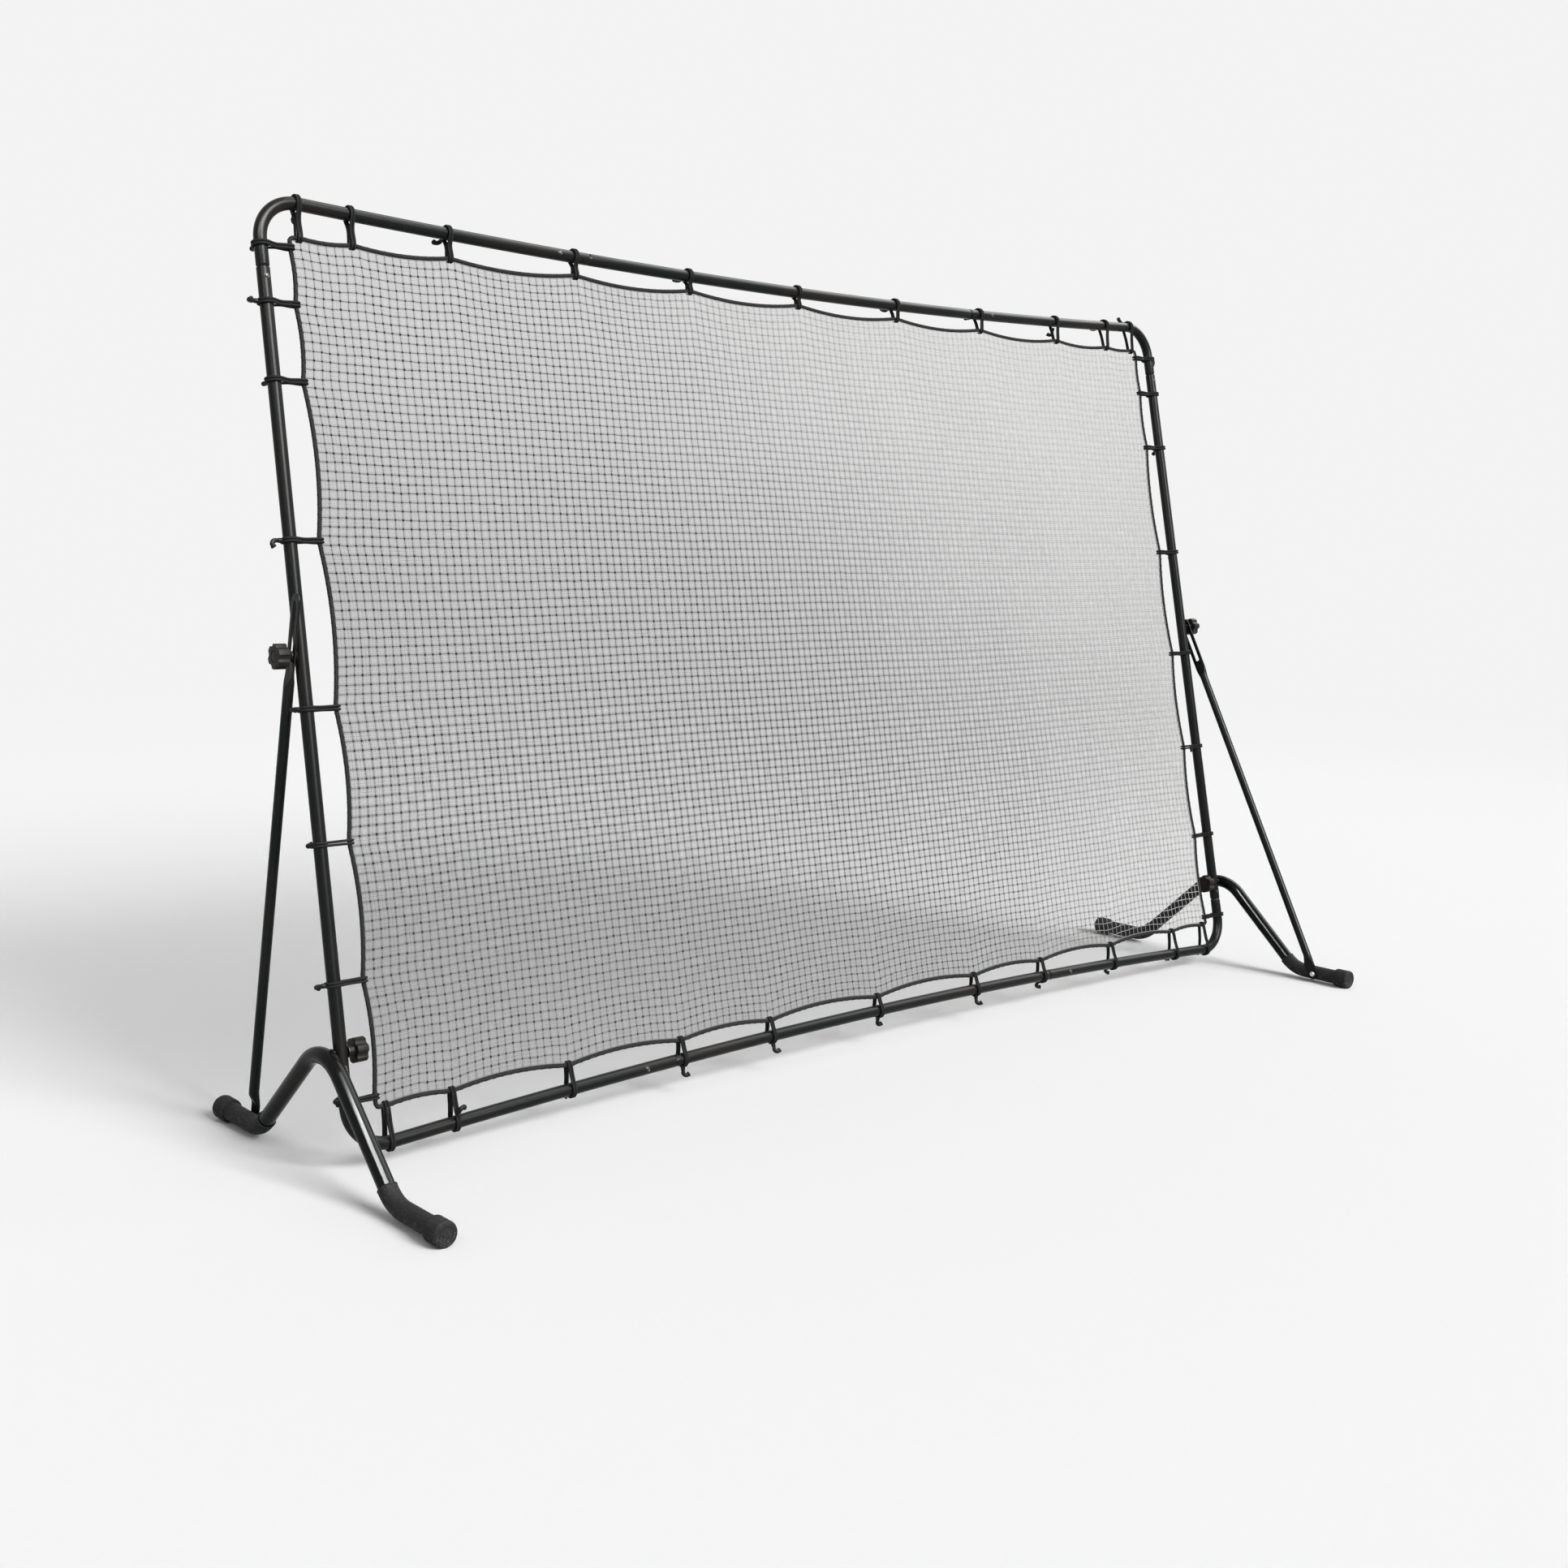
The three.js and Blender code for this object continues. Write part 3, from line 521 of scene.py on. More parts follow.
def onLongSide(along, side=-1):
    return Vector((side * along, 0, drawIn(along) - layout["lowerBolt"]))


def makeCornerTube():
    s = frameTubes
    half = layout["halfWidth"]
    tube = TubeDrawing(layout["tube"] / 2 * s["rimShare"], onLongSide(s["seam"]), (-1, 0, 0))
    legStart, legEnd = s["seam"] + s["rim"], half - s["bendRadius"]
    tube.to(onLongSide(legStart), 1 / s["rimShare"])
    for k in range(1, s["legSteps"] + 1):
        tube.to(onLongSide(legStart + (legEnd - s["seam"] - s["rim"]) * k / s["legSteps"]))
    low = drawIn(legEnd) - layout["lowerBolt"]
    tube.bend((-legEnd, 0, low + s["bendRadius"]), (0, 1, 0), 90, s["bendSteps"])
    for share, size in s["cornerSwage"]:
        tube.to((-half, 0, s["postSeam"] - s["swage"] * share - layout["lowerBolt"]), size)
    tube.to((-half, 0, s["postSeam"] + s["shortSpigot"] - layout["lowerBolt"]))
    return tube.named("cornerTube", s["wall"])


def makeMiddleTube():
    s = frameTubes
    end = s["seam"] + s["longSpigot"]
    tube = TubeDrawing(layout["tube"] / 2 * s["middleSpigot"], onLongSide(end), (1, 0, 0))
    for share, size in s["middleStart"]:
        tube.to(onLongSide(s["seam"] - s["swage"] * share), size)
    for k in range(1, s["middleSteps"] + 1):
        tube.to(onLongSide((s["seam"] - s["swage"]) * (1 - 2 * k / s["middleSteps"])))
    for share, size in s["middleEnd"]:
        tube.to(onLongSide(-s["seam"] + s["swage"] * share), size)
    tube.to(onLongSide(-end))
    return tube.named("middleTube", s["wall"])


def makePost():
    s = frameTubes
    low = s["postSeam"] + s["postGap"] - layout["lowerBolt"]
    high = layout["height"] - s["postSeam"] - layout["lowerBolt"]
    tube = TubeDrawing(layout["tube"] / 2 * s["rimShare"], (0, 0, low), (0, 0, 1))
    tube.to((0, 0, low + s["rim"]), 1 / s["rimShare"])
    for k in range(1, s["postSteps"]):
        tube.to((0, 0, low + (high - low) * k / s["postSteps"]))
    tube.to((0, 0, high - s["postGap"] - s["rim"]))
    tube.to((0, 0, high - s["postGap"]), s["rimShare"])
    return tube.named("post", s["wall"])


weldedNut = {
    "radius": 0.01,
    "length": 0.0057,
    "bore": 0.0043,
    "sides": 36,
    "sunk": 0.001,
    "boreDepth": 0.8,  # of the length
    "chamfer": 0.0009,
    "bead": 0.0017,
    "ripples": 11,
    "rippleShare": (0.8, 0.12),  # of the bead's height: its mean, and how far the ripples leave it
}


# A welded nut: a round boss with a chamfered mouth, on a low rippled bead of weld
def makeWeldedNut():
    s = weldedNut
    radius, length = s["radius"], s["length"]
    nut = newCylinder(radius, -s["sunk"], length, s["sides"])
    startEdit(nut, "FACE")
    pick(lambda f: f.normal.x > 0.9, "faces")
    bpy.ops.mesh.inset(thickness=radius - s["bore"])
    bpy.ops.mesh.extrude_region_move(TRANSFORM_OT_translate={"value": (-length * s["boreDepth"], 0, 0)})
    pick(lambda e: len(e.link_faces) == 2 and all(v.co.x > length - 0.0001 for v in e.verts)
         and e.calc_length() < radius * 0.3 and (e.verts[0].co.yz.length > radius * 0.9), "edges")
    bevelPicked(s["chamfer"], 2)
    bead = newTorus(radius, s["bead"], s["sides"], (0, 0, 0), (0, math.pi / 2, 0))
    mean, swing = s["rippleShare"]
    for vertex in bead.data.vertices:
        vertex.co.x *= mean + swing * math.sin(s["ripples"] * math.atan2(vertex.co.z, vertex.co.y))
    cutWith(nut, bead, "UNION")
    return renamed(nut, "weldedNut")


snapButton = {
    "radius": 0.0042,
    "proud": 0.0018,
    "sunk": 0.004,
    "dome": 0.0016,
    "rim": 0.0052,
    "rimThick": 0.0008,
    "pastSeam": 0.085,  # on the long sides
    "upPost": 0.17,
}


# A spring button that locks a seam: a low dome in a hole with a rolled edge
def makeSnapButton():
    s = snapButton
    face = layout["tube"] / 2
    button = newCylinder(s["radius"], -s["sunk"], s["proud"], 20, (0, -face, 0), (0, -1, 0))
    bevelFaces(button, lambda normal: normal.y < -0.9, s["dome"], 4)
    rim = newTorus(s["rim"], s["rimThick"], 24, (0, -face + s["rimThick"], 0), (math.pi / 2, 0, 0))
    cutWith(button, rim, "UNION")
    return renamed(button, "snapButton")


def buildFrameTubes():
    half, height = layout["halfWidth"], layout["height"]
    middle = Matrix.Translation((0, 0, height / 2 - layout["lowerBolt"]))
    about = lambda axis: middle @ Matrix.Rotation(math.pi, 4, axis) @ middle.inverted()
    corner, centre, post = makeCornerTube(), makeMiddleTube(), makePost()
    nut, button = makeWeldedNut(), makeSnapButton()

    def placed(piece, name, matrix, node=None):
        finished(copied(piece, name, onFrame @ matrix), "framePaint", "frame",
                 [node] if node else ())

    corners = {
        "bottom_left": Matrix.Identity(4), "top_right": about("Y"),
        "bottom_right": about("Z"), "top_left": about("X"),
    }
    for place, matrix in corners.items():
        placed(corner, "cornerTube_" + place, matrix, "corner_tube_" + place)
    for place, matrix in {"bottom": Matrix.Identity(4), "top": about("X")}.items():
        placed(centre, "middleTube_" + place, matrix, "middle_tube_" + place)
    rise = layout["upperBolt"] - layout["lowerBolt"]
    for side, way in (("left", -1), ("right", 1)):
        placed(post, "post_" + side + "_tube", Matrix.Translation((way * half, 0, 0)), "post_" + side)
        seat = Matrix.Translation((way * (half + layout["tube"] / 2), 0, rise))
        turn = Matrix.Rotation(0 if way > 0 else math.pi, 4, "Z")
        placed(nut, "postNut_" + side, seat @ turn)
    seam, upPost = frameTubes["seam"] + snapButton["pastSeam"], snapButton["upPost"]
    places = {
        "topLeft": (-seam, height - drawIn(seam)), "topRight": (seam, height - drawIn(seam)),
        "bottomLeft": (-seam, drawIn(seam)), "bottomRight": (seam, drawIn(seam)),
        "postTopLeft": (-half, height - upPost), "postTopRight": (half, height - upPost),
        "postLowLeft": (-half, upPost), "postLowRight": (half, upPost),
    }
    for name, (x, up) in places.items():
        at = Matrix.Translation((x, 0, up - layout["lowerBolt"]))
        finished(copied(button, "snapButton_" + name, onFrame @ at), "blackSteel", "frame")
    removed(corner, centre, post, nut, button)
    print("frame tubes drawn")


stands = {
    "tube": 0.035,
    "wall": 0.0015,
    "slope": math.radians(43),
    "footHalf": 0.277,
    "footHeight": 0.025,
    "reach": 0.458,
    "footBend": 0.09,
    "apexBend": 0.1,
    "sleeve": 0.02,  # outer radius
    "sleeveWall": 0.0022,
    "sleeveUp": 0.0397,  # from where the lines of leg and foot cross, up the leg
    "capLength": 0.044,
    # the sleeve's lip, the cap's near end, one groove and the cap's far end, as (distance, radius) pairs
    "lip": [(0.0007, 1 / 0.93 * 1.03), (0.003, None), (0.0037, 1 / 1.03)],
    "capNear": [(0, 0.02), (0.0004, 0.0225), (0.0022, 0.0252), (0.0045, 0.026)],
    "groove": [(0, 0.026), (0.0006, 0.0249), (0.0022, 0.0249), (0.0028, 0.026)],
    "grooves": [0.009 + 0.0075 * k for k in range(4)],
    "capFar": [(0.0395, 0.026), (0.0418, 0.0253), (0.0432, 0.0238), (0.044, 0.0215), (0.044, 0.0165),
               (0.0432, 0.0158), (0.0432, 0.006), (0.0436, 0.0052)],
    "capInset": 0.008,  # from the cap's face to the tube's end
    "pivotAt": 0.35002,
    "pivotSeat": 0.0203,
    "rivet": {"radius": 0.004, "length": 0.0046},
    "rivetHead": {"radius": 0.0075, "from": 0.0043, "to": 0.0083, "round": 0.0026},
    "legSteps": 3,
    "bendSteps": 9,
    "apexSteps": 20,
}


def buildStands():
    s = stands
    cos, sin, tan = math.cos(s["slope"]), math.sin(s["slope"]), math.tan(s["slope"])
    degrees = math.degrees(s["slope"])
    setback = s["footBend"] * math.tan(s["slope"] / 2)
    peak = s["footHeight"] + s["footHalf"] * tan
    foot = lambda y, z=s["footHeight"]: (0, y, z)
    onLeg = lambda away, way: (0, way * (s["footHalf"] - away * cos), s["footHeight"] + away * sin)
    legLength = s["footHalf"] / cos - s["apexBend"] * tan
    footBend = lambda piece, way, steps: piece.bend(
        foot(way * (s["footHalf"] + setback), s["footHeight"] + s["footBend"]), (1, 0, 0), degrees, steps)
    legAt = lambda k: setback + (legLength - setback) * k / s["legSteps"]
    tube = TubeDrawing(s["tube"] / 2, foot(-s["reach"] + s["capInset"]), (0, 1, 0))
    tube.to(foot(-s["footHalf"] - setback))
    footBend(tube, -1, s["bendSteps"])
    for k in range(1, s["legSteps"] + 1):
        tube.to(onLeg(legAt(k), -1))
    tube.bend((0, 0, peak - s["apexBend"] / cos), (1, 0, 0), -2 * degrees, s["apexSteps"])
    for k in range(s["legSteps"] - 1, -1, -1):
        tube.to(onLeg(legAt(k), 1))
    footBend(tube, 1, s["bendSteps"])
    tube.to(foot(s["reach"] - s["capInset"]))
    bentTube = tube.named("standTube", s["wall"])

    sleeve = TubeDrawing(s["sleeve"] * 0.93, onLeg(s["sleeveUp"], 1), (0, cos, -sin))
    for down, size in s["lip"]:
        sleeve.to(onLeg(s["sleeveUp"] - down, 1), size)
    sleeve.to(onLeg(setback, 1))
    footBend(sleeve, 1, s["bendSteps"] + 1)
    start, radius = s["reach"] - s["capLength"], s["sleeve"]
    grooves = [(at + away, wide) for at in s["grooves"] for away, wide in s["groove"]]
    for away, wide in s["capNear"] + grooves + s["capFar"]:
        sleeve.to(foot(start + away), wide / radius)
        radius = wide
    sleeve.shut()
    rubberFoot = sleeve.named("footSleeve", s["sleeveWall"])
    startEdit(rubberFoot, everything=True)
    bpy.ops.mesh.bisect(plane_co=(0, 0, 0.0), plane_no=(0, 0, 1), use_fill=True, clear_inner=True)
    clearSelection()

    nut, pivot, face, cap = makeWeldedNut(), foot(s["pivotAt"]), s["pivotSeat"], s["rivetHead"]
    rivet = newCylinder(s["rivet"]["radius"], 0, face + s["rivet"]["length"], 24, pivot)
    head = newCylinder(cap["radius"], face + cap["from"], face + cap["to"], 32, pivot)
    bevelFaces(head, lambda normal: normal.x > 0.9, cap["round"], 5)
    cutWith(rivet, head, "UNION")
    for side in ("left", "right"):
        matrix, body = onStand[side], side + "_stand"
        near, far = ("rear", "front") if side == "left" else ("front", "rear")
        finished(copied(bentTube, "standTube_" + side, matrix), "standPaint", body,
                 ["stand_" + side])
        for end, turn in ((near, 0), (far, math.pi)):
            turned = matrix @ Matrix.Rotation(turn, 4, "Z") if turn else matrix
            finished(copied(rubberFoot, "footSleeve_" + side + end.title(), turned), "sleeveRubber", body,
                     ["foot_sleeve_" + side + "_" + end])
        seat = Matrix.Translation((s["tube"] / 2, 0, layout["boltHeight"]))
        finished(copied(nut, "standNut_" + side, matrix @ seat), "standPaint", body)
        finished(copied(rivet, "strutRivet_" + side, matrix), "zincSteel", body)
    removed(bentTube, rubberFoot, nut, rivet)
    print("stands bent, sleeves on")


struts = {
    "tube": 0.022,
    "flat": 0.004,
    "flatWidth": 0.03267,
    "flatPastPivot": 0.026,
    "press": 0.036,
    "leanLimit": math.radians(13),  # the slot lets the frame lean this far, forwards or back
    "slotWidth": 0.013,
    "pastBolt": 0.005,
    "margin": 0.014,
    "flatPastSlot": 0.022,
    "sideSteps": 6,
    "leastShare": 0.16,  # of the width, at a rounded end
    "sides": 40,
    "edge": 0.0005,
}


# From the strut's pivot to the upper bolt, at a lean towards the strut's foot
def pivotToBolt(lean):
    span = layout["upperBolt"] - layout["lowerBolt"]
    along = span * math.sin(lean) - stands["pivotAt"]
    return along, layout["boltHeight"] - stands["footHeight"] + span * math.cos(lean)


def makeStrut():
    s = struts
    slotLow, slotHigh = (math.hypot(*pivotToBolt(way * s["leanLimit"])) for way in (1, -1))
    radius, half = s["tube"] / 2, s["flatWidth"] / 2
    footShift = stands["pivotSeat"] + s["flat"] / 2 - (layout["standOffset"] - layout["strutInset"])
    top = slotHigh + s["pastBolt"] + s["margin"]
    flatFrom = slotLow - s["pastBolt"] - s["flatPastSlot"]
    ease = lambda t: t * t * (3 - 2 * t)
    steps = s["sideSteps"]
    shares = [k / steps for k in range(steps + 1)]
    narrowed = lambda turn: max(s["leastShare"], math.sin(turn))
    quarters = [math.pi / 2 * share for share in shares]
    # height, how round, sideways, share of the width
    rings = [(-half * math.cos(turn), 0, footShift, narrowed(turn)) for turn in quarters]
    rings += [(s["flatPastPivot"] + s["press"] * t, ease(t), footShift * (1 - ease(t)), 1) for t in shares]
    rings += [(flatFrom - s["press"] * (1 - t), 1 - ease(t), 0, 1) for t in shares]
    rings += [(top - half * (1 - math.cos(turn)), 0, 0, narrowed(turn)) for turn in quarters[::-1]]
    mix = lambda a, b, t: a + (b - a) * t
    width = lambda ring: mix(half, radius, ring[1]) * ring[3]
    first = rings[0]
    tube = TubeDrawing(radius, (first[2], 0, first[0]), (0, 0, 1), s["sides"])
    resizeAbout(tube.at, (1, width(first) / radius, 1))
    for before, ring in zip(rings, rings[1:]):
        tube.to((ring[2], 0, ring[0]), (1, width(ring) / width(before), 1))
    for ring in rings:  # pressed flat, from both sides, to its own thickness
        reach = mix(s["flat"] / 2, radius, ring[1])
        for way in (-1, 1):
            if pick(lambda v: abs(v.co.z - ring[0]) < 1e-5 and way * (v.co.x - ring[2]) > reach):
                resizeAbout((ring[2] + way * reach, 0, ring[0]), (0, 1, 1))
    for height in (rings[0][0], rings[-1][0]):
        pick(lambda v: abs(v.co.z - height) < 1e-5)
        bpy.ops.mesh.edge_face_add()
    piece = tube.named("strut")
    slotRadius = s["slotWidth"] / 2
    lowEnd = slotLow - s["pastBolt"] + slotRadius
    length = slotHigh + s["pastBolt"] - slotRadius - lowEnd
    cutter = newCylinder(slotRadius, -s["tube"], s["tube"], 32, (0, 0, lowEnd))
    startEdit(cutter)
    pick(lambda v: v.co.z > lowEnd + 1e-5)
    bpy.ops.transform.translate(value=(0, 0, length))
    clearSelection()
    cutWith(piece, cutter)
    bevelSharp(piece, s["edge"], 2, 50)
    return piece


def buildStruts():
    strut, inset = makeStrut(), layout["standOffset"] - layout["strutInset"]
    seat = Matrix.Translation((inset, stands["pivotAt"], stands["footHeight"]))
    for side, towards in (("left", 1), ("right", -1)):
        along, up = pivotToBolt(towards * layout["lean"])
        matrix = onStand[side] @ seat @ Matrix.Rotation(math.atan2(-along, up), 4, "X")
        finished(copied(strut, "strutTube_" + side, matrix), "strutPaint", side + "_strut",
                 ["strut_" + side])
    removed(strut)
    print("struts pressed and slotted")


knobs = {
    "radius": 0.026,
    "thickness": 0.024,
    "lobes": 6,
    "dip": 0.0045,
    "dipRadius": 0.009,
    "edge": 0.0024,
    "neck": 0.0105,
    "neckFrom": 0.0012,
    "neckLength": 0.012,
    "neckFlare": 1.3,
    "neckSunk": 0.006,
    "neckRound": 0.0008,
    "dish": {"radius": 0.0125, "depth": 0.0014},
    "plug": {"radius": 0.0118, "depth": 0.004, "below": 0.0003, "round": 0.0011},
    "upperSeat": 0.0243,
    "lowerSeat": 0.0143,
    "bolt": {"radius": 0.0038, "sunk": 0.004, "tip": 0.0009},
    "upperBolt": 0.0203,
    "lowerBolt": 0.0463,
    "washer": {"radius": 0.012, "round": 0.0003},
    "near": -0.01,  # past every face of the knob, behind it and before it
    "far": 0.06,
}


# A knob that faces +X, with its seat at x = 0
def makeKnob():
    s = knobs
    face = s["neckLength"] + s["thickness"]
    head = newCylinder(s["radius"], s["neckLength"], face, 96)
    away = s["radius"] - s["dip"] + s["dipRadius"]
    for k in range(s["lobes"]):
        angle = math.tau * k / s["lobes"]
        at = (0, away * math.cos(angle), away * math.sin(angle))
        cutWith(head, newCylinder(s["dipRadius"], s["near"], s["far"], 40, at))
    bevelSharp(head, s["edge"], 4, 28)
    neck = newCylinder(s["neck"], s["neckFrom"], s["neckLength"] + s["neckSunk"], 40)
    bevelFaces(neck, lambda normal: normal.x < -0.9, s["neckRound"], 2)
    startEdit(neck, "FACE")
    pick(lambda v: v.co.x > s["neckLength"] - 0.002)
    resizeAbout((s["neckLength"], 0, 0), (1, s["neckFlare"], s["neckFlare"]))
    clearSelection()
    cutWith(head, neck, "UNION")
    dish, plug = s["dish"], s["plug"]
    cutWith(head, newCylinder(dish["radius"], face - dish["depth"], s["far"], 48))
    disc = newCylinder(plug["radius"], face - plug["depth"], face - plug["below"], 48)
    bevelFaces(disc, lambda normal: normal.x > 0.9, plug["round"], 3)
    cutWith(head, disc, "UNION")
    return renamed(head, "knob")


def makeBolt(length):
    shank, ring = knobs["bolt"], knobs["washer"]
    bolt = newCylinder(shank["radius"], -length, shank["sunk"], 20)
    bevelFaces(bolt, lambda normal: normal.x < -0.9, shank["tip"], 1)
    washer = newCylinder(ring["radius"], 0.0, knobs["neckFrom"], 40)
    bevelFaces(washer, lambda normal: abs(normal.x) > 0.9, ring["round"], 2)
    cutWith(bolt, washer, "UNION")
    return bolt


def buildKnobs():
    s = knobs
    head = makeKnob()
    shanks = {"upper": makeBolt(s["upperBolt"]), "lower": makeBolt(s["lowerBolt"])}
    half, span = layout["halfWidth"], layout["upperBolt"] - layout["lowerBolt"]
    halfTurn = Matrix.Rotation(math.pi, 4, "Z")
    for side, way in (("left", -1), ("right", 1)):
        outwards, inwards = (halfTurn, Matrix.Identity(4)) if way < 0 else (Matrix.Identity(4), halfTurn)
        seats = {
            "upper": Matrix.Translation((way * (half + s["upperSeat"]), 0, span)) @ outwards,
            "lower": Matrix.Translation((way * (half - s["lowerSeat"]), 0, 0)) @ inwards,
        }
        for level, seat in seats.items():
            body = side + "_" + level + "_knob"
            matrix = onFrame @ seat @ Matrix.Rotation(random.uniform(0, math.tau), 4, "X")
            finished(copied(head, level + "Knob_" + side, matrix), "knobPlastic", body,
                     [level + "_knob_" + side])
            finished(copied(shanks[level], level + "Bolt_" + side, matrix), "blackSteel", body)
    removed(head, *shanks.values())
    print("knobs cut and bevelled")


# Cords and netting, in mesh code
def meshPiece(name, vertices, faces, uvs=()):
    mesh = bpy.data.meshes.new(name)
    mesh.from_pydata([tuple(vertex) for vertex in vertices], [], faces)
    if uvs:
        layer = mesh.uv_layers.new(name="UVMap")
        layer.data.foreach_set("uv", [value for uv in uvs for value in uv])
    piece = addedToScene(name, mesh)
    facedOut(piece, weld=False)
    return piece


# A closed cord whose UV map counts the turns of its braid
def cordMesh(name, points, radius, sides, across, turns):
    points = [Vector(point) for point in points]
    count, along = len(points), 0.0
    across = Vector(across).normalized()
    vertices, faces, uvs = [], [], []
    for i, point in enumerate(points):
        after = points[(i + 1) % count]
        heading = (after - points[i - 1]).normalized()
        side = across.cross(heading).normalized()
        low, ring, nextRing = along * turns, i * sides, (i + 1) % count * sides
        along += (after - point).length
        high = along * turns
        for k in range(sides):
            angle = math.tau * k / sides
            vertices.append(point + across * (radius * math.cos(angle)) + side * (radius * math.sin(angle)))
            nextSide = (k + 1) % sides
            faces.append((ring + k, ring + nextSide, nextRing + nextSide, nextRing + k))
            uvs += [(k / sides, low), ((k + 1) / sides, low), ((k + 1) / sides, high), (k / sides, high)]
    return meshPiece(name, vertices, faces, uvs)


net = {
    "rope": 0.009,
    "sideInset": 0.0655,  # from a post's centre line to the rope's
    "longInset": 0.0785,
    "ropeCorner": 0.01,
    "endTie": 0.022,  # from the rope's corner to its end tie
    "tieSeat": 0.014,
    "scallop": 0.04,  # of the distance between two ties
    "topTies": [0, 0.258, 0.502, 0.743, 0.913, 1],
    "bottomTies": [0, 0.26, 0.456, 0.68, 0.89, 1],
    "leftTies": [0, 0.135, 0.295, 0.452, 0.649, 0.838, 0.931, 1],
    "rightTies": [0, 0.143, 0.3, 0.467, 0.649, 0.838, 0.936, 1],
    "columns": 146,
    "rows": 92,
    "threads": {"upright": 0.0007, "level": 0.00102},  # radius
    "knot": 0.0031,
    "fluff": 0.0102,  # how far loose fibres stand off a thread's middle
    "fade": 0.14,  # how far into the net the scallops reach
    "calm": 0.2,  # how far from the rope the ripples are full
    "edge": 0.0005,  # between the rope and the first thread
    # ripples in the net's own plane, and its lift out of it: height, then how fast along X and up
    "ripplesX": [(0.0022, 2.3, 3.1), (0.0009, -5, 11)],
    "ripplesUp": [(0.0024, 2.7, -1.9), (0.0009, 9, 6)],
    "lift": (0.0016, 4, 5),
    "jitter": 0.00045,
    "lace": {"radius": 0.0008, "pitch": 0.0206, "stand": 0.0004, "steps": 3},
    "smooth": 60,
    "clothShare": 0.31,  # of the flat area, the least that the net covers
}


def tiePlaces():
    s = net
    span = layout["halfWidth"] - s["sideInset"] - s["endTie"]
    mirrored = lambda shares: [-x for x in shares[:0:-1]] + shares
    low = s["longInset"] + s["endTie"]
    high = layout["height"] - low
    return {
        "bottom": [x * span for x in mirrored(s["bottomTies"])],
        "right": [low + (high - low) * x for x in s["rightTies"]],
        "top": [x * span for x in mirrored(s["topTies"])],
        "left": [low + (high - low) * x for x in s["leftTies"]],
    }


ties = tiePlaces()


def sag(side, along):
    places, seat = ties[side], net["tieSeat"] / 2
    for before, after in zip(places, places[1:]):
        low, high = before + seat, after - seat
        if low < along < high:
            share = (along - low) / (high - low)
            return 4 * share * (1 - share) * net["scallop"] * (high - low)
    return 0.0


# The rope's centre line, once round from the bottom left, as (x, up) pairs
def ropeLine(step=0.008, cornerSteps=5):
    half, low = layout["halfWidth"] - net["sideInset"], net["longInset"]
    high, corner = layout["height"] - low, net["ropeCorner"]
    points = []
    sides = [
        (-half, half, lambda t: (t, low + sag("bottom", t))),
        (low, high, lambda t: (half - sag("right", t), t)),
        (half, -half, lambda t: (t, high - sag("top", t))),
        (high, low, lambda t: (-half + sag("left", t), t)),
    ]
    for turn, (start, end, at) in enumerate(sides):
        way, length = 1 if end > start else -1, abs(end - start) - 2 * corner
        steps = round(length / step)
        for k in range(steps + 1):
            points.append(at(start + way * (corner + length * k / steps)))
        last, heading = Vector(points[-1]), turn * math.pi / 2
        centre = last + Vector((-math.sin(heading), math.cos(heading))) * corner
        for k in range(1, cornerSteps):
            angle = heading - math.pi / 2 + math.pi / 2 * k / cornerSteps
            points.append(tuple(centre + Vector((math.cos(angle), math.sin(angle))) * corner))
    return points


def buildRope():
    points = [Vector((x, 0, up - layout["lowerBolt"])) for x, up in ropeLine()]
    back = Vector((0, 1, 0))
    rope = cordMesh("borderRope", points, net["rope"] / 2, 12, back, turns=70.0)
    finished(rope, "ropeBraid", "frame", ["border_rope"], onFrame, net["smooth"])
    # Twine laced round the rope, one turn to each mesh of the net
    lace, lacing, travelled = net["lace"], [], 0.0
    around = net["rope"] / 2 + lace["stand"]
    for here, after in zip(points, points[1:] + points[:1]):
        side = back.cross((after - here).normalized())
        for k in range(lace["steps"]):
            share = k / lace["steps"]
            angle = math.tau * (travelled + (after - here).length * share) / lace["pitch"]
            lacing.append(here.lerp(after, share) + back * (around * math.cos(angle))
                          + side * (around * math.sin(angle)))
        travelled += (after - here).length
    laced = cordMesh("netLacing", lacing, lace["radius"], 3, (0, 1, 0.001), turns=300.0)
    finished(laced, "netLace", "frame", (), onFrame, net["smooth"])
    print("border rope laid:", round(travelled, 3), "m")
    return rope, laced


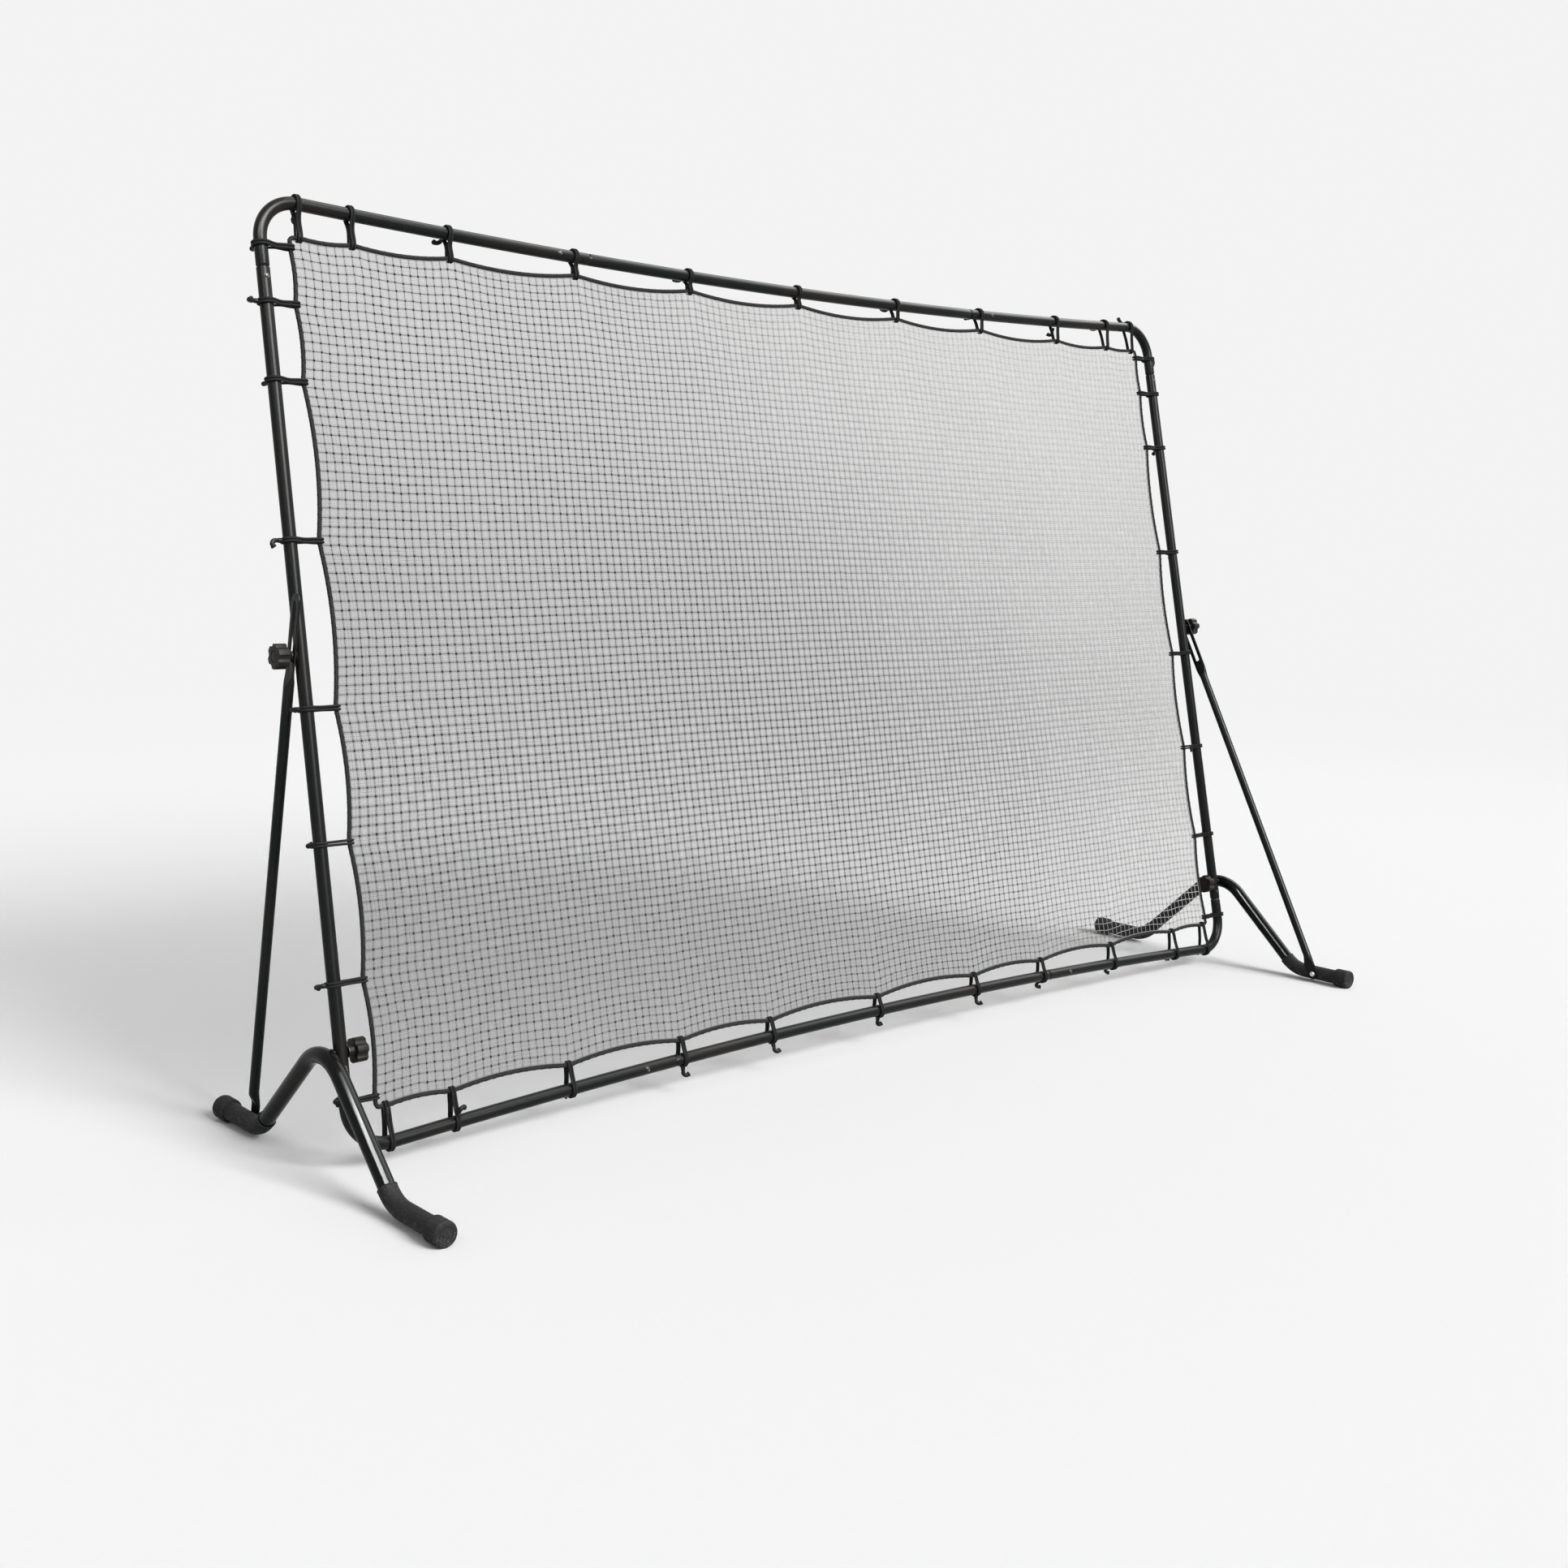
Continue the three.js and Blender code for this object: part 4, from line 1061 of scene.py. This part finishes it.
def netNodes():
    s = net
    edge = s["rope"] / 2 + s["edge"]
    height, columns, rows = layout["height"], s["columns"], s["rows"]
    wide, low = layout["halfWidth"] - s["sideInset"] - edge, s["longInset"] + edge
    high = height - low
    nodes = np.zeros((columns + 1, rows + 1, 3))
    draw = np.random.default_rng(7)
    phases = draw.uniform(0, math.tau, 8)
    fade = lambda away: math.exp(-away / s["fade"])
    for i in range(columns + 1):
        for j in range(rows + 1):
            x, up = wide * (2 * i / columns - 1), low + (height - 2 * low) * j / rows
            ripple = lambda first, waves: sum(
                size * math.sin(fastX * x + fastUp * up + phases[first + k])
                for k, (size, fastX, fastUp) in enumerate(waves))
            pullX = sag("left", up) * fade(x + wide) - sag("right", up) * fade(wide - x)
            pullUp = sag("bottom", x) * fade(up - low) - sag("top", x) * fade(high - up)
            inside = min(1.0, *(room / s["calm"] for room in (wide - abs(x), up - low, high - up)))
            size, fastX, fastUp = s["lift"]
            lift = size * math.sin(fastX * x + phases[4]) * math.sin(fastUp * up + phases[5])
            nodes[i, j] = (x + pullX + ripple(0, s["ripplesX"]) * inside, lift * inside,
                           up + pullUp + ripple(2, s["ripplesUp"]) * inside - layout["lowerBolt"])
    jitter = draw.normal(0, s["jitter"], nodes.shape) * (1, 0.3, 1)
    nodes[1:-1, 1:-1] += jitter[1:-1, 1:-1]
    return nodes


# Three-sided threads, one edge towards the front
def threadMesh(lines, radii, offset=0.25):
    vertices, faces, base = [], [], 0
    for line, radius in zip(lines, radii):
        heading = np.gradient(line, axis=0)
        heading /= np.linalg.norm(heading, axis=1, keepdims=True)
        side = np.cross(heading, (0.0, 1.0, 0.0))
        side /= np.linalg.norm(side, axis=1, keepdims=True)
        back = np.array((0.0, 1.0, 0.0))
        rings = np.stack([line + side * (radius * math.cos(angle)) + back * (radius * math.sin(angle))
                          for angle in (math.tau * (k + offset) / 3 for k in range(3))], 1)
        count = len(line)
        vertices.append(rings.reshape(-1, 3))
        for i in range(count - 1):
            for k in range(3):
                a, b = base + 3 * i + k, base + 3 * i + (k + 1) % 3
                faces.append((a, a + 3, b + 3, b))
        faces.append((base, base + 1, base + 2))
        last = base + 3 * (count - 1)
        faces.append((last + 2, last + 1, last))
        base += 3 * count
    return np.concatenate(vertices), faces


# Flat bands along the threads, in the net's own surface
def fluffBands(lines, reach):
    vertices, faces, uvs, base = [], [], [], 0
    for line in lines:
        heading = np.gradient(line, axis=0)
        side = np.cross(heading, (0.0, 1.0, 0.0))
        side *= reach / np.linalg.norm(side, axis=1, keepdims=True)
        vertices.append(np.stack([line - side, line + side], 1).reshape(-1, 3))
        for i in range(len(line) - 1):
            a = base + 2 * i
            faces.append((a, a + 1, a + 3, a + 2))
            uvs += [(0, i), (1, i), (1, i + 1), (0, i + 1)]
        base += 2 * len(line)
    return np.concatenate(vertices), faces, uvs


# Knots are small eight-sided lumps, each turned its own way
def knotMesh(centres):
    draw = np.random.default_rng(5)
    size = net["knot"] * draw.uniform(0.85, 1.2, (len(centres), 1))
    corners = np.array([(1, 0, 0), (-1, 0, 0), (0, 0, 1), (0, 0, -1), (0, 0.75, 0), (0, -0.75, 0)], float)
    turn = draw.uniform(0, math.tau, len(centres))
    cos, sin = np.cos(turn)[:, None], np.sin(turn)[:, None]
    spun = np.stack([corners[:, 0] * cos - corners[:, 2] * sin,
                     np.broadcast_to(corners[:, 1], (len(centres), 6)),
                     corners[:, 0] * sin + corners[:, 2] * cos], 2)
    points = (centres[:, None, :] + spun * size[:, None]).reshape(-1, 3)
    lump = [(0, 2, 4), (2, 1, 4), (1, 3, 4), (3, 0, 4), (2, 0, 5), (1, 2, 5), (3, 1, 5), (0, 3, 5)]
    faces = [tuple(6 * n + corner for corner in face) for n in range(len(centres)) for face in lump]
    return points, faces


def buildNet():
    s = net
    nodes = netNodes()
    lines = [nodes[i] for i in range(s["columns"] + 1)] + [nodes[:, j] for j in range(s["rows"] + 1)]
    radii = [s["threads"]["upright"]] * (s["columns"] + 1) + [s["threads"]["level"]] * (s["rows"] + 1)
    threads = meshPiece("netThreads", *threadMesh(lines, radii))
    fluff = meshPiece("netFluff", *fluffBands(lines, s["fluff"]))
    finished(fluff, "netFluff", "frame", (), onFrame, None)
    centres = nodes[1:-1, 1:-1].reshape(-1, 3)
    knots = meshPiece("netKnots", *knotMesh(centres))
    finished(threads, "netTwine", "frame", ["netting"], onFrame, None)
    finished(knots, "netKnot", "frame", (), onFrame, None)


tieSettings = {
    "strand": 0.0028,  # radius
    "apart": 0.0029,  # from the middle of the tie to each strand
    "lead": 0.0004,  # how much further apart the strands lie on the rope
    "slack": 0.0004,
    # how much a tie narrows midway between tube and rope, of its width there
    "pinch": {"left": 0.68, "right": 0.68, "top": 0.5, "bottom": 0.12},
    "open": {"side": "top", "count": 5, "pinch": 0.12},  # ties whose strands stay apart
    "ropeSteps": 10,
    "spanSteps": 12,
    "tubeSteps": 20,
    "hookReach": 0.022,
    "hookBar": 0.005,
    "ferrule": 0.0052,
    # down the ferrule, from the tube's far side: where, and how much thinner than before
    "ferruleSteps": [(0.0042, 1.0), (0.0058, 0.94), (0.0066, 0.82)],
    "ferruleUp": 0.0035,
    "curlUp": 0.0105,
    "curl": 0.0074,
    "curlTurn": 118,
    "ball": [(0.0012, 1.2), (0.0036, 1.0), (0.0048, 0.6)],
    # how far each hook has slipped round its tube, in degrees towards the back
    "slip": {
        "left": [84, 4, 78, 2, -10, 74, 6, 82],
        "right": [20, 48, 60, 30, 44, 52, 24, 10],
        "top": [44, 92, 160, 88, 96, 84, 90, 82, 104, 82, 150],
        "bottom": [80, -138, 72, 4, -10, 16, 0, 44, 56, 62, 70],
    },
    # how far each hook is turned on its own bar: a curl at 0 lies across the tube, at 90 along it
    "turn": {"left": [190, 4, 200, 84, 8, 194, 6, 200], "top": [60, 80, 50, 95, 70, 60, 85, 65, 90, 75, -80]},
}


# Two elastic strands round the tube, which runs along X through the origin, and round the rope above it
def makeStrands(reach, pinch):
    s = tieSettings
    big = layout["tube"] / 2 + s["strand"] + s["slack"]
    small = net["rope"] / 2 + s["strand"] + s["slack"] / 2
    tangent = math.acos((big - small) / reach)
    drawnIn = lambda share: Vector((1, 1 - pinch * math.sin(math.pi * share) ** 2, 1))
    loops = []
    for way in (-1, 1):
        x = way * s["apart"]
        onTube = lambda angle: (x, big * math.sin(angle), big * math.cos(angle))
        onRope = lambda angle: (x + s["lead"] * way, small * math.sin(angle), reach + small * math.cos(angle))
        points = [onRope(-tangent + 2 * tangent * k / s["ropeSteps"]) for k in range(s["ropeSteps"] + 1)]
        across = lambda here, there: [tuple(Vector(here).lerp(Vector(there), k / s["spanSteps"])
                                            * drawnIn(k / s["spanSteps"])) for k in range(1, s["spanSteps"])]
        points += across(points[-1], onTube(tangent))
        wrap = math.tau - 2 * tangent
        points += [onTube(tangent + wrap * k / s["tubeSteps"]) for k in range(s["tubeSteps"] + 1)]
        points += across(points[-1], points[0])
        loops.append(cordMesh("strand", points, s["strand"], 10, (1, 0, 0), turns=160.0))
    clearSelection()
    for loop in loops:
        loop.select_set(True)
    bpy.context.view_layer.objects.active = loops[0]
    bpy.ops.object.join()
    return bpy.context.object


# The hook that holds a tie's two ends: a ferrule, a bar and a curl with a ball at its tip
def makeHook(side):
    s = tieSettings
    back = -(layout["tube"] / 2 + 2 * s["strand"] + s["slack"])
    top, bend = back + s["ferruleUp"], back - s["hookReach"] + s["curlUp"]
    hook, radius = TubeDrawing(s["ferrule"], (0, 0, top), (0, 0, -1), 16), s["ferrule"]
    for down, size in s["ferruleSteps"]:
        hook.to((0, 0, back - down), size)
        radius *= size
    hook.to((0, 0, bend), s["hookBar"] / radius)
    hook.bend((0, side * s["curl"], bend), (1, 0, 0), s["curlTurn"] * side, 8)
    tip, turned = hook.at, math.radians(s["curlTurn"])
    for away, size in s["ball"]:
        hook.to(tip + Vector((0, side * math.sin(turned), -math.cos(turned))) * away, size)
    hook.shut()
    pick(lambda v: abs(v.co.z - top) < 1e-6)
    bpy.ops.mesh.edge_face_add()
    return hook.named("hook")


def buildTies():
    s = tieSettings
    turns = {"bottom": 0, "right": -math.pi / 2, "top": math.pi, "left": math.pi / 2}
    half, height = layout["halfWidth"], layout["height"]
    hooks = {way: makeHook(way) for way in (-1, 1)}
    spun = lambda degrees, axis: Matrix.Rotation(math.radians(degrees), 4, axis)
    for side, places in ties.items():
        bowed = side in ("bottom", "top")
        for i, along in enumerate(places if side in ("bottom", "right") else places[::-1]):
            draw = drawIn(along) if bowed else 0.0
            reach = (net["longInset"] if bowed else net["sideInset"]) - draw
            x, up = {
                "bottom": (along, draw), "top": (along, height - draw),
                "right": (half, along), "left": (-half, along),
            }[side]
            node = f"tie_{side}_{i + 1}"
            at = Matrix.Translation((x, 0, up - layout["lowerBolt"]))
            matrix = onFrame @ at @ Matrix.Rotation(turns[side], 4, "Y")
            opened = side == s["open"]["side"] and i < s["open"]["count"]
            pinch = s["open"]["pinch"] if opened else s["pinch"][side]
            strands = renamed(makeStrands(reach, pinch), node + "_elastic")
            finished(strands, "tieElastic", "frame", [node], matrix, 60)
            turn = s["turn"].get(side, [random.uniform(35, 100)] * len(places))[i]
            hook = copied(hooks[1 if side == "right" else -1], node + "_hook",
                          matrix @ spun(s["slip"][side][i], "X") @ spun(turn, "Z"))
            finished(hook, "hookPlastic", "frame")
    removed(*hooks.values())
    print("ties on:", sum(len(places) for places in ties.values()))


# Floor, world and lamps
studio = {
    "floorSize": 60.0,
    "floorSunk": 0.0005,
    "glowFrom": (7.0, 3.0),  # distance at which the floor turns into the background, and how softly
    "floorTone": 0.945,
    "fill": 0.355,
    "suns": {  # strength, how wide the lamp looks, where it stands: degrees up, and from -Y towards +X
        "front": (3.5, 28, 33, 10),
        "gleam": (4.0, 28, 33, 10),
        "side": (3.4, 50, 46, 85),
    },
    "onlySheen": ["gleam", "side"],
    "strip": {"power": 680.0, "size": (3.6, 0.34), "place": (-2.5, -1.52, 3.9), "turn": (-20, 0, 0)},
}


def buildFloor():
    clearSelection()
    bpy.ops.mesh.primitive_plane_add(size=studio["floorSize"], location=(0, 0, -studio["floorSunk"]))
    floor = applyPlace()
    floor.name = "floor"
    f = Finish("floorPaper")
    grain = f.noise(scale=90.0)
    tone = studio["floorTone"]
    paper = f.node("BsdfPrincipled", {}, {
        "Base Color": f.mixed(grain, shade(tone), shade(tone * 0.985)),
        "Roughness": 0.9, "Specular IOR Level": 0.1,
    })
    back = layout["background"]
    glow = f.node("Emission", {}, {"Color": shade(back), "Strength": 1.0})
    away = f.node("VectorMath", {"operation": "LENGTH"}, {0: f.place}, out="Value")
    far = away.above(*studio["glowFrom"]) * f.node("LightPath", out="Is Camera Ray")
    f.show(f.node("MixShader", {}, {0: far, 1: paper, 2: glow}))
    floor.data.materials.append(f.material)


def buildLight():
    world = bpy.data.worlds.new("studio")
    world.use_nodes = True
    bpy.context.scene.world = world
    w = NodeSheet(world)
    back, fill = layout["background"], studio["fill"]
    rays = w.node("LightPath", out="Is Camera Ray")
    path = rays.socket.node
    seen = rays + Wired(w, path.outputs["Is Glossy Ray"]) + Wired(w, path.outputs["Is Transmission Ray"])
    amount = w.node("Clamp", {}, {"Value": seen})
    tone = w.mixed(amount, shade(fill), shade(back))
    sky = w.node("Background", {}, {"Color": tone, "Strength": 1.0})
    w.show(sky, "World")
    for name, (strength, wide, height, aside) in studio["suns"].items():
        sun = bpy.data.lights.new(name + "Sun", "SUN")
        sun.energy, sun.angle = strength, math.radians(wide)
        lamp = addedToScene(name + "Sun", sun)
        lamp.rotation_euler = (math.radians(90 - height), 0, math.radians(aside))
        lamp.visible_diffuse = name not in studio["onlySheen"]
    s = studio["strip"]
    box = bpy.data.lights.new("stripBox", "AREA")
    box.shape, box.energy = "RECTANGLE", s["power"]
    box.size, box.size_y = s["size"]
    lamp = addedToScene("stripBox", box)
    lamp.location = s["place"]
    lamp.rotation_euler = [math.radians(angle) for angle in s["turn"]]
    lamp.visible_diffuse = False


buildFrameTubes()
buildStands()
buildStruts()
buildKnobs()
borderRope, netLacing = buildRope()
buildNet()
buildTies()
buildFloor()
buildLight()

bpy.context.scene.view_settings.view_transform = "Standard"
